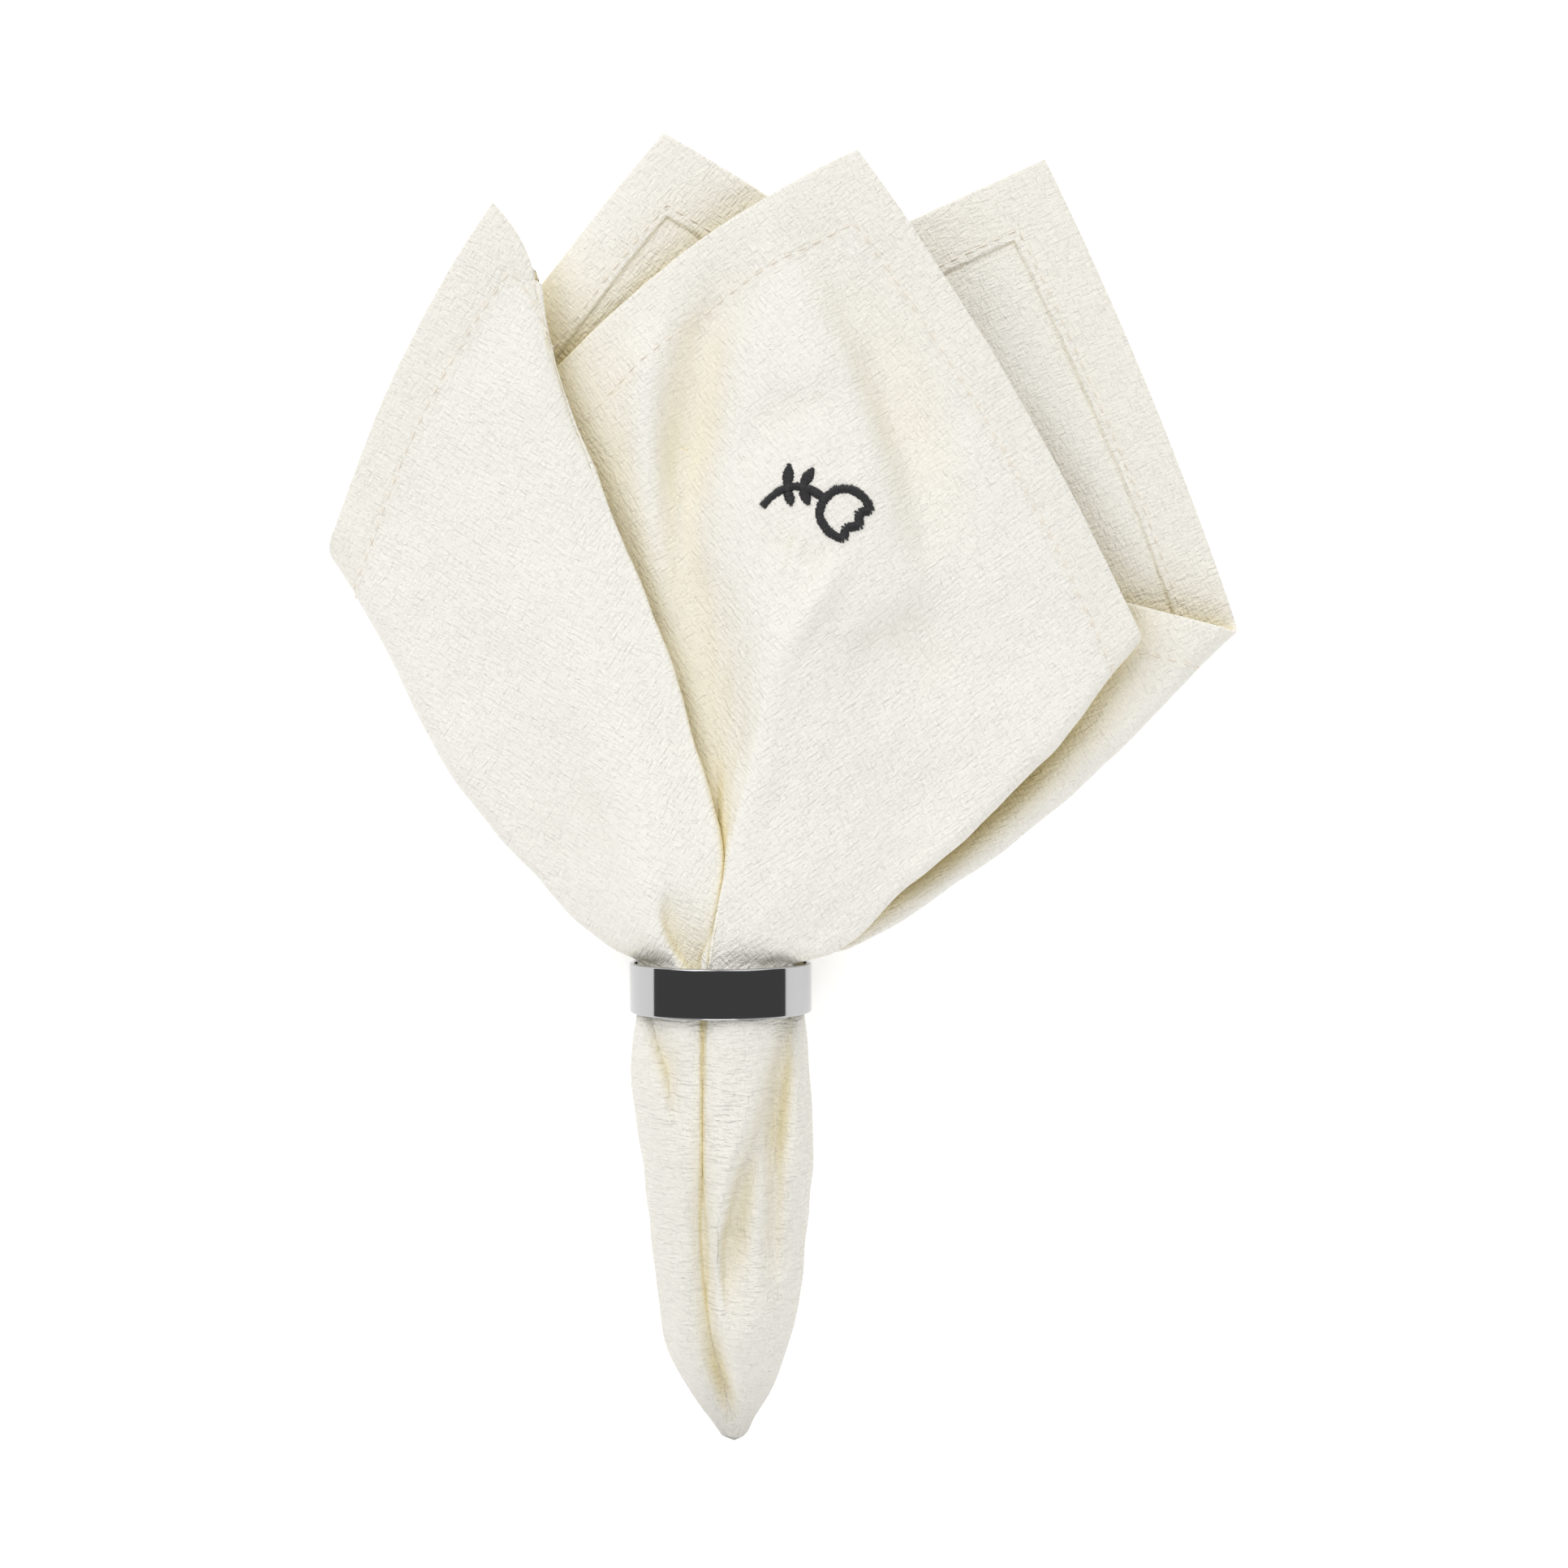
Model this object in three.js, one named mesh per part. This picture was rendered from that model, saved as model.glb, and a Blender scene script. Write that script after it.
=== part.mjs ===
// Cloth napkin pinched at its middle and drawn through a metal ring.
// Millimetres, +Z up. The ring's axis runs along Y, the hemmed corners fan out towards +Y.
import * as THREE from "three";

// Driving sizes
const NAPKIN_SIDE = 450;
const HEM_WIDTH = 15;
const CLOTH = 1.0;
const HEM_EXTRA = 0.4;
const RING = { outer: 22.2, inner: 21.0, width: 12, rounding: 0.45, facets: 96 };
const NECK = 6.5;
const PACKED = 20.1;
const TAIL_LENGTH = 114.4;
const FLOOR = CLOTH / 2;
const RING_Z = RING.outer;
const HALF = NAPKIN_SIDE / 2;

// Where the napkin was looked at from, straight above: places seen are drawn in the ring's mid plane.
const EYE = { x: 15.4, y: 49.2, height: 534 };

// One row per fold or corner, in order round the hem, clockwise seen from the tip.
// along: place on the hem from corner C. turn: -1 folds outwards, +1 inwards, 0 is a corner.
// x, y: where its hem end is seen. z, gap: its height and the room between its two layers there.
// neck, low, high: sideways sway of its line at the ring, above it and near the hem. settle: how soon it sinks.
// bow: how far the hem of the layer after it bows out.
const HEM_COLUMNS = ["name", "along", "turn", "nose", "x", "y", "z", "gap", "neck",
  "low", "high", "settle", "bow"];
const HEM_ROWS = [
  ["C", 0, 0, 0, 33.4, 203.9, 26.5, 0, 0, 0, 0, 1.7, 3.4],
  ["cR", 138, -1, 0, 102.2, 84.0, 17.5, 7.0, 5, 17, 8, 2.1, 0],
  ["gR", 221, 1, 180, 25.9, 112.0, 10.2, 2.6, 0, 4, 0, 2.3, 0],
  ["dR", 326, -1, 0, 125.9, 86.0, 3.8, 6.6, 5, 32, 4, 3.6, 2.0],
  ["D", 450, 0, 0, 78.8, 201.0, -0.5, 0, 0, 8, 0, 7, 1.5],
  ["fL", 610, -1, 180, -66.0, 130.0, 1.6, 2.2, 0, -6, 0, 5, 0],
  ["fR", 812, 1, 0, 52.0, 163.0, 3.9, 2.4, 0, -2, 0, 4.2, 1.0],
  ["B", 900, 0, 0, -14.0, 207.9, 5.4, 0, 0, 0, 0, 4.2, 0.5],
  ["bL", 1023, -1, 180, -88.0, 109.0, 6.7, 2.8, 0, -20, -2, 3.2, 0],
  ["gL", 1139, 1, 0, 20.0, 113.0, 9.4, 2.6, 0, 0, 0, 2.5, 0],
  ["aL", 1255, -1, 180, -94.5, 104.7, 16.2, 10.5, -2, -25, -3, 2.2, 3.4],
  ["A", 1350, 0, 0, -55.5, 190.3, 28.0, 0, 0, -4, 0, 1.8, 1.2],
  ["aR", 1372.5, -1, 0, -44.1, 170.9, 24.0, 3.0, 0, 40, -16, 1.8, 0],
  ["pL1", 1432.5, 1, 180, -78.3, 135.5, 17.4, 7.0, 0, 2, 2, 2.3, 0],
  ["pR", 1589, 1, 0, 70.0, 92.0, 16.2, 2.4, 0, -4, 0, 1.8, 0],
  ["pL2", 1708, -1, 180, -42.5, 147.0, 17.4, 2.6, 0, 36, -10, 2.6, 4.7],
];

// The same folds inside the ring and half way down the tail, measured from the ring's middle.
// dir: degrees the fold's nose points to, gap: room between its layers, dies: how far from the
// tip it begins to smooth out, round: its place, in degrees, on the smooth dome at the tip.
const RING_COLUMNS = ["name", "ringX", "ringZ", "dir", "ringGap", "tailX", "tailZ", "tailDir", "dies", "round"];
const RING_ROWS = [
  ["C", 6.5, 18.4, 0, 0, 0.4, 17.6, 0, 60, 70],
  ["cR", 17.4, 8.4, -30, 2.6, 4.6, 13.8, -20, 60, 46],
  ["gR", 3.4, 2.6, 190, 2.4, -0.8, 8.8, 190, 60, 24],
  ["dR", 19.8, -2.4, -30, 3.0, 19.6, 1.0, -30, 70, -6],
  ["D", 3.0, -19.6, 0, 0, 3.0, -19.6, 0, 70, -75],
  ["fL", -13.4, -13.6, 170, 2.4, -13.4, -13.6, 170, 80, -110],
  ["fR", 6.0, -10.6, 0, 2.4, -7.0, -11.2, 0, 80, -133],
  ["B", -6.0, -8.2, 180, 0, -12.0, -9.0, 180, 80, -147],
  ["bL", -18.8, -6.4, 185, 2.6, -18.8, -6.4, 185, 76, -159],
  ["gL", 0.2, -3.4, 0, 2.4, -12.0, -3.4, 0, 76, -175],
  ["aL", -19.8, 0.4, 205, 2.8, -19.8, 0.4, 205, 70, -190],
  ["A", -14.2, 13.4, 0, 0, -14.6, 13.0, 0, 60, -222],
  ["aR", -3.9, 17.8, 20, 2.8, -5.8, 16.6, 30, 54, -244],
  ["pL1", -12.6, 5.4, 190, 2.4, -11.0, 8.4, 200, 54, -257],
  ["pR", 2.6, 7.8, 0, 2.2, -3.8, 7.6, -20, 54, -270],
  ["pL2", -1.9, 16.6, 135, 2.6, -3.2, 14.6, 130, 54, -281],
];

// The tail's outline below the ring: half width, half height and middle at each place down it.
const TAIL_COLUMNS = ["y", "width", "height", "x", "z"];
const TAIL_ROWS = [
  [-6.5, 20.1, 20.1, 0, 22.2],
  [-13, 20.7, 20.0, 0, 22.0],
  [-26, 20.5, 19.4, 0.4, 21.4],
  [-43.6, 19.6, 18.0, 1.4, 20.0],
  [-58.2, 18.3, 16.3, 1.8, 18.2],
  [-77, 16.7, 13.8, 2.0, 15.8],
  [-89.5, 14.3, 11.4, 1.2, 13.4],
  [-101.5, 9.2, 8.0, 1.8, 11.0],
  [-109, 4.8, 4.6, 2.4, 9.6],
  [-113.2, 2.0, 2.0, 2.9, 9.0],
  [-114.4, 0, 0, 3.0, 9.0],
];

// Soft troughs (depth below zero) and ridges pressed into the two front layers, as seen.
const CREASE_COLUMNS = ["layer", "x0", "y0", "x1", "y1", "width", "depth"];
const CREASE_ROWS = [
  ["C", -8, 158, -14, 104, 9, -2.6],
  ["C", 34, 176, 46, 118, 9, -4.5],
  ["C", 44, 104, 26, 88, 10, -4.5],
  ["C", 8, 142, 22, 138, 5, -1.6],
  ["C", 2, 26, 18, 90, 7, 3.2],
  ["C", 0, 60, -6, 100, 9, -3.0],
  ["A", -14, 16, -6, 8, 6, -3.5],
  ["A", -40, 32, -30, 60, 9, -2.0],
  ["A", -50, 168, -62, 134, 8, -1.6],
];

// Places along the tail and the fan where the sheet has its rows
const TAIL_STOPS = [-113.2, -110.6, -106.4, -100, -91, -79, -65, -50, -35, -21, -11];
const RING_STOPS = [-NECK, 0, NECK];
const FAN_ROWS = 13;
const HEM_STOPS = [0.5, 1];
const NOSE_STEPS = 3;
const COLUMN_SPACING = 18;

function asObjects(columns, rows) {
  return rows.map((row) => Object.fromEntries(columns.map((name, i) => [name, row[i]])));
}

const ringRows = asObjects(RING_COLUMNS, RING_ROWS);
const GUIDES = asObjects(HEM_COLUMNS, HEM_ROWS).map((row, i) => ({ ...row, ...ringRows[i] }));
const TAIL = asObjects(TAIL_COLUMNS, TAIL_ROWS);
const CREASES = asObjects(CREASE_COLUMNS, CREASE_ROWS);

const lerp = THREE.MathUtils.lerp;
const rad = THREE.MathUtils.degToRad;

function smooth(from, to, value) {
  const t = THREE.MathUtils.clamp((value - from) / (to - from), 0, 1);
  return t * t * (3 - 2 * t);
}

// A place seen in the ring's mid plane, brought to its own height along the line of sight.
function lift(x, y, z) {
  const share = (EYE.height - z) / (EYE.height - RING_Z);
  return [EYE.x + (x - EYE.x) * share, EYE.y + (y - EYE.y) * share];
}

// Distance from the napkin's middle to its hem, along the straight line to a place on the hem.
function reach(along) {
  const fromCorner = ((along % NAPKIN_SIDE) + NAPKIN_SIDE) % NAPKIN_SIDE;
  return Math.hypot(HALF, fromCorner - HALF);
}

// Smooth value of one column of the tail's outline
function tailValue(column, y) {
  let i = 0;
  while (i < TAIL.length - 2 && TAIL[i + 1].y > y) {
    i += 1;
  }
  const slope = (k) => {
    const a = TAIL[Math.max(k - 1, 0)];
    const b = TAIL[Math.min(k + 1, TAIL.length - 1)];
    return (b[column] - a[column]) / (b.y - a.y);
  };
  const span = TAIL[i + 1].y - TAIL[i].y;
  const t = (y - TAIL[i].y) / span;
  return hermite(TAIL[i][column], TAIL[i + 1][column], slope(i) * span, slope(i + 1) * span, t);
}

function hermite(p0, p1, m0, m1, t) {
  const a = t * t;
  const b = a * t;
  return (2 * b - 3 * a + 1) * p0 + (b - 2 * a + t) * m0 + (3 * a - 2 * b) * p1 + (b - a) * m1;
}

// Frame of a fold in a row: its nose tip, the way the nose points, the way across its layers.
function foldFrame(guide, tip, side, degrees, gap) {
  const angle = rad(degrees);
  const nose = new THREE.Vector3(side.x * Math.cos(angle), side.y * Math.cos(angle), Math.sin(angle));
  const across = new THREE.Vector3(-side.x * Math.sin(angle), -side.y * Math.sin(angle), Math.cos(angle));
  const axis = tip.clone();
  if (guide.turn !== 0) {
    axis.addScaledVector(nose, -gap / 2);
  }
  return { guide, axis, nose, across, gap: guide.turn === 0 ? 0 : gap };
}

// Frames of all folds in a row of the ring or the tail, in the packed round section
function packedFrames(y) {
  const share = smooth(-NECK, -45, y);
  const roomier = Math.min(1.6, PACKED / tailValue("height", Math.min(y, -NECK)));
  return GUIDES.map((guide) => {
    const x = lerp(guide.ringX, guide.tailX, share);
    const z = lerp(guide.ringZ, guide.tailZ, share);
    const degrees = lerp(guide.dir, guide.tailDir, share);
    const tip = new THREE.Vector3(x, y, RING_Z + z);
    return foldFrame(guide, tip, { x: 1, y: 0 }, degrees, guide.ringGap * roomier);
  });
}

// Frames of all folds in a row of the fan. place runs from 0 at the ring to 1 at the hem's inner
// edge, and on to 2 at the hem itself.
function fanFrames(place) {
  return GUIDES.map((guide) => {
    const far = reach(guide.along);
    const inner = (far * (1 - HEM_WIDTH / HALF) - TAIL_LENGTH) / (far - TAIL_LENGTH);
    const t = place <= 1 ? place * inner : lerp(inner, 1, place - 1);
    const [hemX, hemY] = lift(guide.x, guide.y, guide.z);
    const startX = guide.ringX;
    const curve = new THREE.CubicBezierCurve(
      new THREE.Vector2(startX, NECK),
      new THREE.Vector2(lerp(startX, hemX, 1 / 3) + guide.low, lerp(NECK, hemY, 1 / 3)),
      new THREE.Vector2(lerp(startX, hemX, 2 / 3) + guide.high, lerp(NECK, hemY, 2 / 3)),
      new THREE.Vector2(hemX, hemY),
    );
    const point = curve.getPoint(t);
    point.x += guide.neck * smooth(0, 0.03, t) * (1 - smooth(0.03, 0.25, t));
    const heading = new THREE.Vector2(0, 1).lerp(curve.getTangent(t), smooth(0, 0.15, t)).normalize();
    const z = lerp(RING_Z + guide.ringZ, guide.z, 1 - (1 - t) ** guide.settle);
    const degrees = lerp(guide.dir, guide.nose, smooth(0, 0.3, t));
    const gap = lerp(guide.ringGap, guide.gap, smooth(0, 0.5, t));
    const tip = new THREE.Vector3(point.x, point.y, z);
    return foldFrame(guide, tip, { x: heading.y, y: -heading.x }, degrees, gap);
  });
}

// A point on a fold's round nose: phi runs from -90 degrees, the layer before, to +90, the one after.
function onNose(frame, phi) {
  const r = frame.gap / 2;
  return frame.axis.clone()
    .addScaledVector(frame.nose, r * Math.cos(phi))
    .addScaledVector(frame.across, frame.guide.turn * r * Math.sin(phi));
}

// A point on the layer between two neighbouring guides. round is 1 where the layer bends freely,
// as in the ring, and 0 where it lies as flat stretches. out is the share of the hem's bow.
function onLayer(frames, k, u, round, out) {
  const n = frames.length;
  const at = (i) => frames[(i + n) % n];
  const start = at(k);
  const end = at(k + 1);
  const p0 = onNose(start, Math.PI / 2);
  const p1 = onNose(end, -Math.PI / 2);
  const chord = p1.clone().sub(p0);
  const length = chord.length();
  const leave = start.guide.turn === 0
    ? p1.clone().sub(onNose(at(k - 1), Math.PI / 2)).multiplyScalar(0.5)
    : start.nose.clone().multiplyScalar(-length);
  const arrive = end.guide.turn === 0
    ? onNose(at(k + 2), -Math.PI / 2).sub(p0).multiplyScalar(0.5)
    : end.nose.clone().multiplyScalar(length);
  const flatStart = chord.clone().setZ(leave.z);
  const flatEnd = chord.clone().setZ(arrive.z);
  const m0 = flatStart.lerp(leave, round);
  const m1 = flatEnd.lerp(arrive, round);
  const bow = (4 * u * (1 - u) * start.guide.bow * out) / Math.hypot(chord.x, chord.y);
  const up = Math.sign(chord.x * (p0.y + p1.y) - chord.y * (p0.x + p1.x));
  return new THREE.Vector3(
    hermite(p0.x, p1.x, m0.x, m1.x, u) - up * bow * chord.y,
    hermite(p0.y, p1.y, m0.y, m1.y, u) + up * bow * chord.x,
    hermite(p0.z, p1.z, m0.z, m1.z, u),
  );
}

// Every column of the sheet: points round each nose, then points over the layer after it
function listColumns() {
  const columns = [];
  const hemEnds = fanFrames(2);
  GUIDES.forEach((guide, k) => {
    const next = GUIDES[(k + 1) % GUIDES.length];
    const span = ((next.along - guide.along + 4 * NAPKIN_SIDE) % (4 * NAPKIN_SIDE));
    const steps = guide.turn === 0 ? 0 : NOSE_STEPS;
    for (let i = 0; i <= steps; i += 1) {
      const phi = steps === 0 ? 0 : Math.PI * (i / steps - 0.5);
      columns.push({ k, phi, along: guide.along + phi, layer: null });
    }
    const width = hemEnds[k].axis.distanceTo(hemEnds[(k + 1) % GUIDES.length].axis);
    const front = ["C", "A", "pL2", "aL"].includes(guide.name);
    const stretches = Math.max(3, Math.round(width / (front ? COLUMN_SPACING : 1.7 * COLUMN_SPACING)));
    for (let i = 1; i < stretches; i += 1) {
      const u = i / stretches;
      columns.push({ k, u, along: guide.along + u * span, layer: guide.name });
    }
  });
  return spreadRound(columns);
}

// Place of every column on the dome at the tip, where the columns between two guides are evenly spaced
function spreadRound(columns) {
  const middle = GUIDES.map((guide, k) => {
    const own = columns.map((c, i) => (c.k === k && c.layer === null ? i : -1)).filter((i) => i >= 0);
    return (own[0] + own[own.length - 1]) / 2;
  });
  columns.forEach((column, i) => {
    const k = i < middle[column.k] ? column.k - 1 : column.k;
    const next = k + 1 < GUIDES.length ? k + 1 : 0;
    const end = next === 0 ? columns.length : middle[next];
    const endRound = next === 0 ? GUIDES[0].round - 360 : GUIDES[next].round;
    const share = (i - middle[k]) / (end - middle[k]);
    column.around = lerp(GUIDES[k].round, endRound, share);
    column.dies = lerp(GUIDES[k].dies, GUIDES[next].dies, share);
  });
  return columns;
}

// The front layers, named after the guide before them, and how creases fade out towards their folds
const LAYER_OF = { pL2: "C", C: "C", aL: "A", A: "A" };
const FADE_OF = {
  pL2: (u) => smooth(0.02, 0.3, u),
  C: (u) => 1 - smooth(0.8, 1, u),
  aL: (u) => smooth(0, 0.3, u),
  A: (u) => 1 - smooth(0.6, 1, u),
};

// Height added by the soft troughs and ridges at a place on a front layer
function creaseHeight(layer, x, y) {
  let height = 0;
  for (const c of CREASES.filter((crease) => crease.layer === LAYER_OF[layer])) {
    const dx = c.x1 - c.x0;
    const dy = c.y1 - c.y0;
    const t = THREE.MathUtils.clamp(((x - c.x0) * dx + (y - c.y0) * dy) / (dx * dx + dy * dy), 0, 1);
    const away = Math.hypot(x - c.x0 - t * dx, y - c.y0 - t * dy);
    height += c.depth * Math.exp(-((away / c.width) ** 2));
  }
  return height;
}

// A row of the sheet in the tail: the packed section drawn in to the tail's outline, then to a dome
function tailPoint(frames, column, y) {
  const p = columnPoint(frames, column, 1, 0);
  const width = tailValue("width", y);
  const height = tailValue("height", y);
  const folded = smooth(8, column.dies, y + TAIL_LENGTH);
  const angle = rad(column.around);
  const x = lerp(width * Math.cos(angle), (p.x * width) / PACKED, folded ** 1.6);
  const z = lerp(height * Math.sin(angle), ((p.z - RING_Z) * height) / PACKED, folded);
  return new THREE.Vector3(tailValue("x", y) + x, y, tailValue("z", y) + z);
}

function columnPoint(frames, column, round, out) {
  return column.layer === null
    ? onNose(frames[column.k], column.phi)
    : onLayer(frames, column.k, column.u, round, out);
}

// Inside the ring nothing may come nearer to its wall than the packed radius.
function keepInRing(p) {
  const out = Math.hypot(p.x, p.z - RING_Z);
  const share = out > PACKED ? PACKED / out : 1;
  return new THREE.Vector3(p.x * share, p.y, RING_Z + (p.z - RING_Z) * share);
}

// A corner's own column takes the creases of the layer after it. A fold's nose keeps its round shape.
function fanPoint(frames, column, place) {
  const p = columnPoint(frames, column, 1 - smooth(0, 0.5, place), smooth(0.3, 1.2, place));
  const guide = GUIDES[column.k];
  const bent = column.layer === null && guide.turn === 0 ? guide.name : column.layer;
  if (FADE_OF[bent]) {
    const fade = FADE_OF[bent](column.u ?? 0);
    p.z += creaseHeight(bent, p.x, p.y) * smooth(0.02, 0.15, place) * fade;
  }
  p.z = Math.max(p.z, FLOOR);
  return p;
}

// A closed row of points with its sharp bends eased
function soften(points, times) {
  let row = points;
  for (let pass = 0; pass < times; pass += 1) {
    const before = row;
    row = before.map((p, i) => {
      const next = before[(i + 1) % before.length];
      const last = before[(i + before.length - 1) % before.length];
      return p.clone().lerp(next.clone().add(last).multiplyScalar(0.5), 0.5);
    });
  }
  return row;
}

// All rows of the sheet's middle, from just above the tip to the hem
function sheetRows() {
  const columns = listColumns();
  const rows = [];
  for (const y of TAIL_STOPS) {
    const frames = packedFrames(y);
    const points = columns.map((c) => tailPoint(frames, c, y));
    rows.push({ hem: 0, points: soften(points, Math.round(3 * smooth(-14, -60, y))) });
  }
  for (const y of RING_STOPS) {
    const frames = packedFrames(y);
    rows.push({ hem: 0, points: columns.map((c) => keepInRing(columnPoint(frames, c, 1, 0))) });
  }
  for (let i = 1; i <= FAN_ROWS; i += 1) {
    const place = (i / FAN_ROWS) ** 1.35;
    const frames = fanFrames(place);
    rows.push({ hem: i === FAN_ROWS ? 0.2 : 0, points: columns.map((c) => fanPoint(frames, c, place)) });
  }
  for (const stop of HEM_STOPS) {
    const frames = fanFrames(1 + stop);
    rows.push({ hem: 1, points: columns.map((c) => fanPoint(frames, c, 1 + stop)) });
  }
  return rows;
}

// The closed sheet: its right side, its wrong side, and the thin rim that joins them at the hem
function napkinGeometry() {
  const rows = sheetRows();
  const count = rows[0].points.length;
  const tip = new THREE.Vector3(tailValue("x", -TAIL_LENGTH), -TAIL_LENGTH, tailValue("z", -TAIL_LENGTH));
  const vertices = [];
  const faces = [];
  const sideStart = {};
  for (const side of ["right", "wrong"]) {
    sideStart[side] = vertices.length;
    rows.forEach((row, j) => {
      const below = j === 0 ? row.points.map(() => tip) : rows[j - 1].points;
      const above = rows[Math.min(j + 1, rows.length - 1)].points;
      row.points.forEach((p, i) => {
        const around = row.points[(i + 1) % count].clone().sub(row.points[(i + count - 1) % count]);
        const along = above[i].clone().sub(below[i]);
        const outward = around.cross(along).normalize();
        const offset = side === "right" ? CLOTH / 2 : -CLOTH / 2 - HEM_EXTRA * row.hem;
        vertices.push(p.clone().addScaledVector(outward, offset));
      });
    });
    const end = new THREE.Vector3(0, side === "right" ? -CLOTH / 2 : CLOTH / 2, 0).add(tip);
    vertices.push(end);
  }
  const last = rows.length - 1;
  const at = (side, j, i) => sideStart[side] + j * count + (i % count);
  const pole = (side) => sideStart[side] + rows.length * count;
  for (let i = 0; i < count; i += 1) {
    for (let j = 0; j < last; j += 1) {
      faces.push([at("right", j, i), at("right", j + 1, i + 1), at("right", j + 1, i)]);
      faces.push([at("right", j, i), at("right", j, i + 1), at("right", j + 1, i + 1)]);
      faces.push([at("wrong", j, i), at("wrong", j + 1, i), at("wrong", j + 1, i + 1)]);
      faces.push([at("wrong", j, i), at("wrong", j + 1, i + 1), at("wrong", j, i + 1)]);
    }
    faces.push([pole("right"), at("right", 0, i + 1), at("right", 0, i)]);
    faces.push([pole("wrong"), at("wrong", 0, i), at("wrong", 0, i + 1)]);
    faces.push([at("right", last, i), at("wrong", last, i + 1), at("wrong", last, i)]);
    faces.push([at("right", last, i), at("right", last, i + 1), at("wrong", last, i + 1)]);
  }
  const geometry = new THREE.BufferGeometry();
  geometry.setAttribute("position", new THREE.Float32BufferAttribute(vertices.flatMap((v) => v.toArray()), 3));
  geometry.setIndex(faces.flat());
  geometry.computeVertexNormals();
  return geometry;
}

// The ring: a band with softly rounded edges turned about the Y axis
function ringGeometry() {
  const half = RING.width / 2;
  const r = RING.rounding;
  const corners = [
    { x: RING.outer - r, y: half - r, from: 0 },
    { x: RING.inner + r, y: half - r, from: 90 },
    { x: RING.inner + r, y: -half + r, from: 180 },
    { x: RING.outer - r, y: -half + r, from: 270 },
  ];
  const profile = [];
  for (const corner of corners) {
    for (let step = 0; step <= 3; step += 1) {
      const angle = rad(corner.from + 30 * step);
      profile.push(new THREE.Vector2(corner.x + r * Math.cos(angle), corner.y + r * Math.sin(angle)));
    }
  }
  profile.push(profile[0].clone());
  const geometry = new THREE.LatheGeometry(profile, RING.facets);
  geometry.translate(0, 0, RING_Z);
  return geometry;
}

function namedMesh(name, geometry, color, metalness, roughness) {
  const mesh = new THREE.Mesh(geometry, new THREE.MeshStandardMaterial({ color, metalness, roughness }));
  mesh.name = name;
  return mesh;
}

const part = new THREE.Group();
part.name = "napkin_in_ring";
part.add(namedMesh("napkin", napkinGeometry(), 0xefebe2, 0, 0.9));
part.add(namedMesh("ring", ringGeometry(), 0xb9b9bb, 1, 0.15));

// The part's origin is the middle of its outline, on the surface it lies on.
const box = new THREE.Box3().setFromObject(part);
part.position.set(-(box.min.x + box.max.x) / 2, -(box.min.y + box.max.y) / 2, -box.min.z);
part.updateMatrixWorld(true);

export default part;
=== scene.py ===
"""Cloth napkin in a metal ring: the dressed model, its light and its camera, in Blender."""
import math

import bpy
import numpy as np
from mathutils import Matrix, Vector
from mathutils.bvhtree import BVHTree


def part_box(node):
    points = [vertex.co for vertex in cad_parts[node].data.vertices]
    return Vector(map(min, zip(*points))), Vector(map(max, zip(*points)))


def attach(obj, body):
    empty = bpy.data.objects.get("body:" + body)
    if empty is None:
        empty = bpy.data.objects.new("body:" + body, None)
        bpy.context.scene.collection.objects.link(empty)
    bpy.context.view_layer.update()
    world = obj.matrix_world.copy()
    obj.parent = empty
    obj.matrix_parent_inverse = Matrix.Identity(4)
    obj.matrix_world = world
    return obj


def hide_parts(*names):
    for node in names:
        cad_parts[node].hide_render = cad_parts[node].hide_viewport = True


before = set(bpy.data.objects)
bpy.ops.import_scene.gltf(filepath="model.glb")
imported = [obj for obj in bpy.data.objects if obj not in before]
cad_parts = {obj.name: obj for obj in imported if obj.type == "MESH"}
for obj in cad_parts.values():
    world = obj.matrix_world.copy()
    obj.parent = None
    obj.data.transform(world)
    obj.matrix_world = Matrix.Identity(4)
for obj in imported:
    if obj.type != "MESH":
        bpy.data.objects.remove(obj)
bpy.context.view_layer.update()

# Driving sizes in millimetres, as in the part's own source
NAPKIN_SIDE = 450
HALF = NAPKIN_SIDE / 2
HEM_WIDTH = 15
RING_OUTER = 22.2
RING_INNER = 21.0
RING_WIDTH = 12
RING_ROUNDING = 0.45
RING_Z = RING_OUTER
NECK = 6.5
PACKED = 20.1
TAIL_LENGTH = 114.4

# What only the dressed cloth has: its thickness, its hem, and the least height of its middle
CLOTH = 0.7
HEM_EXTRA = 0.55
HEM_STEP = 0.1
RIM_RADIUS = 0.8
RIM_LEAST = 0.1
STITCH_EDGE = 12.9
STITCH_DIMPLE = 0.1
DIMPLE_WIDTH = 0.5
FLOOR = 0.6

# The tail is a little fuller than its outline from GATHERED on, but not at its tip
TAIL_EASE = 0.6
GATHERED = -20
TIP_EASE = 8
TAIL_TOP = 0.5

# Where the photograph was taken from, straight above. Places seen are drawn in the ring's mid plane.
EYE = np.array([15.4, 49.2, 534.0])
SEEN_WIDTH = 381.8

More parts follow.
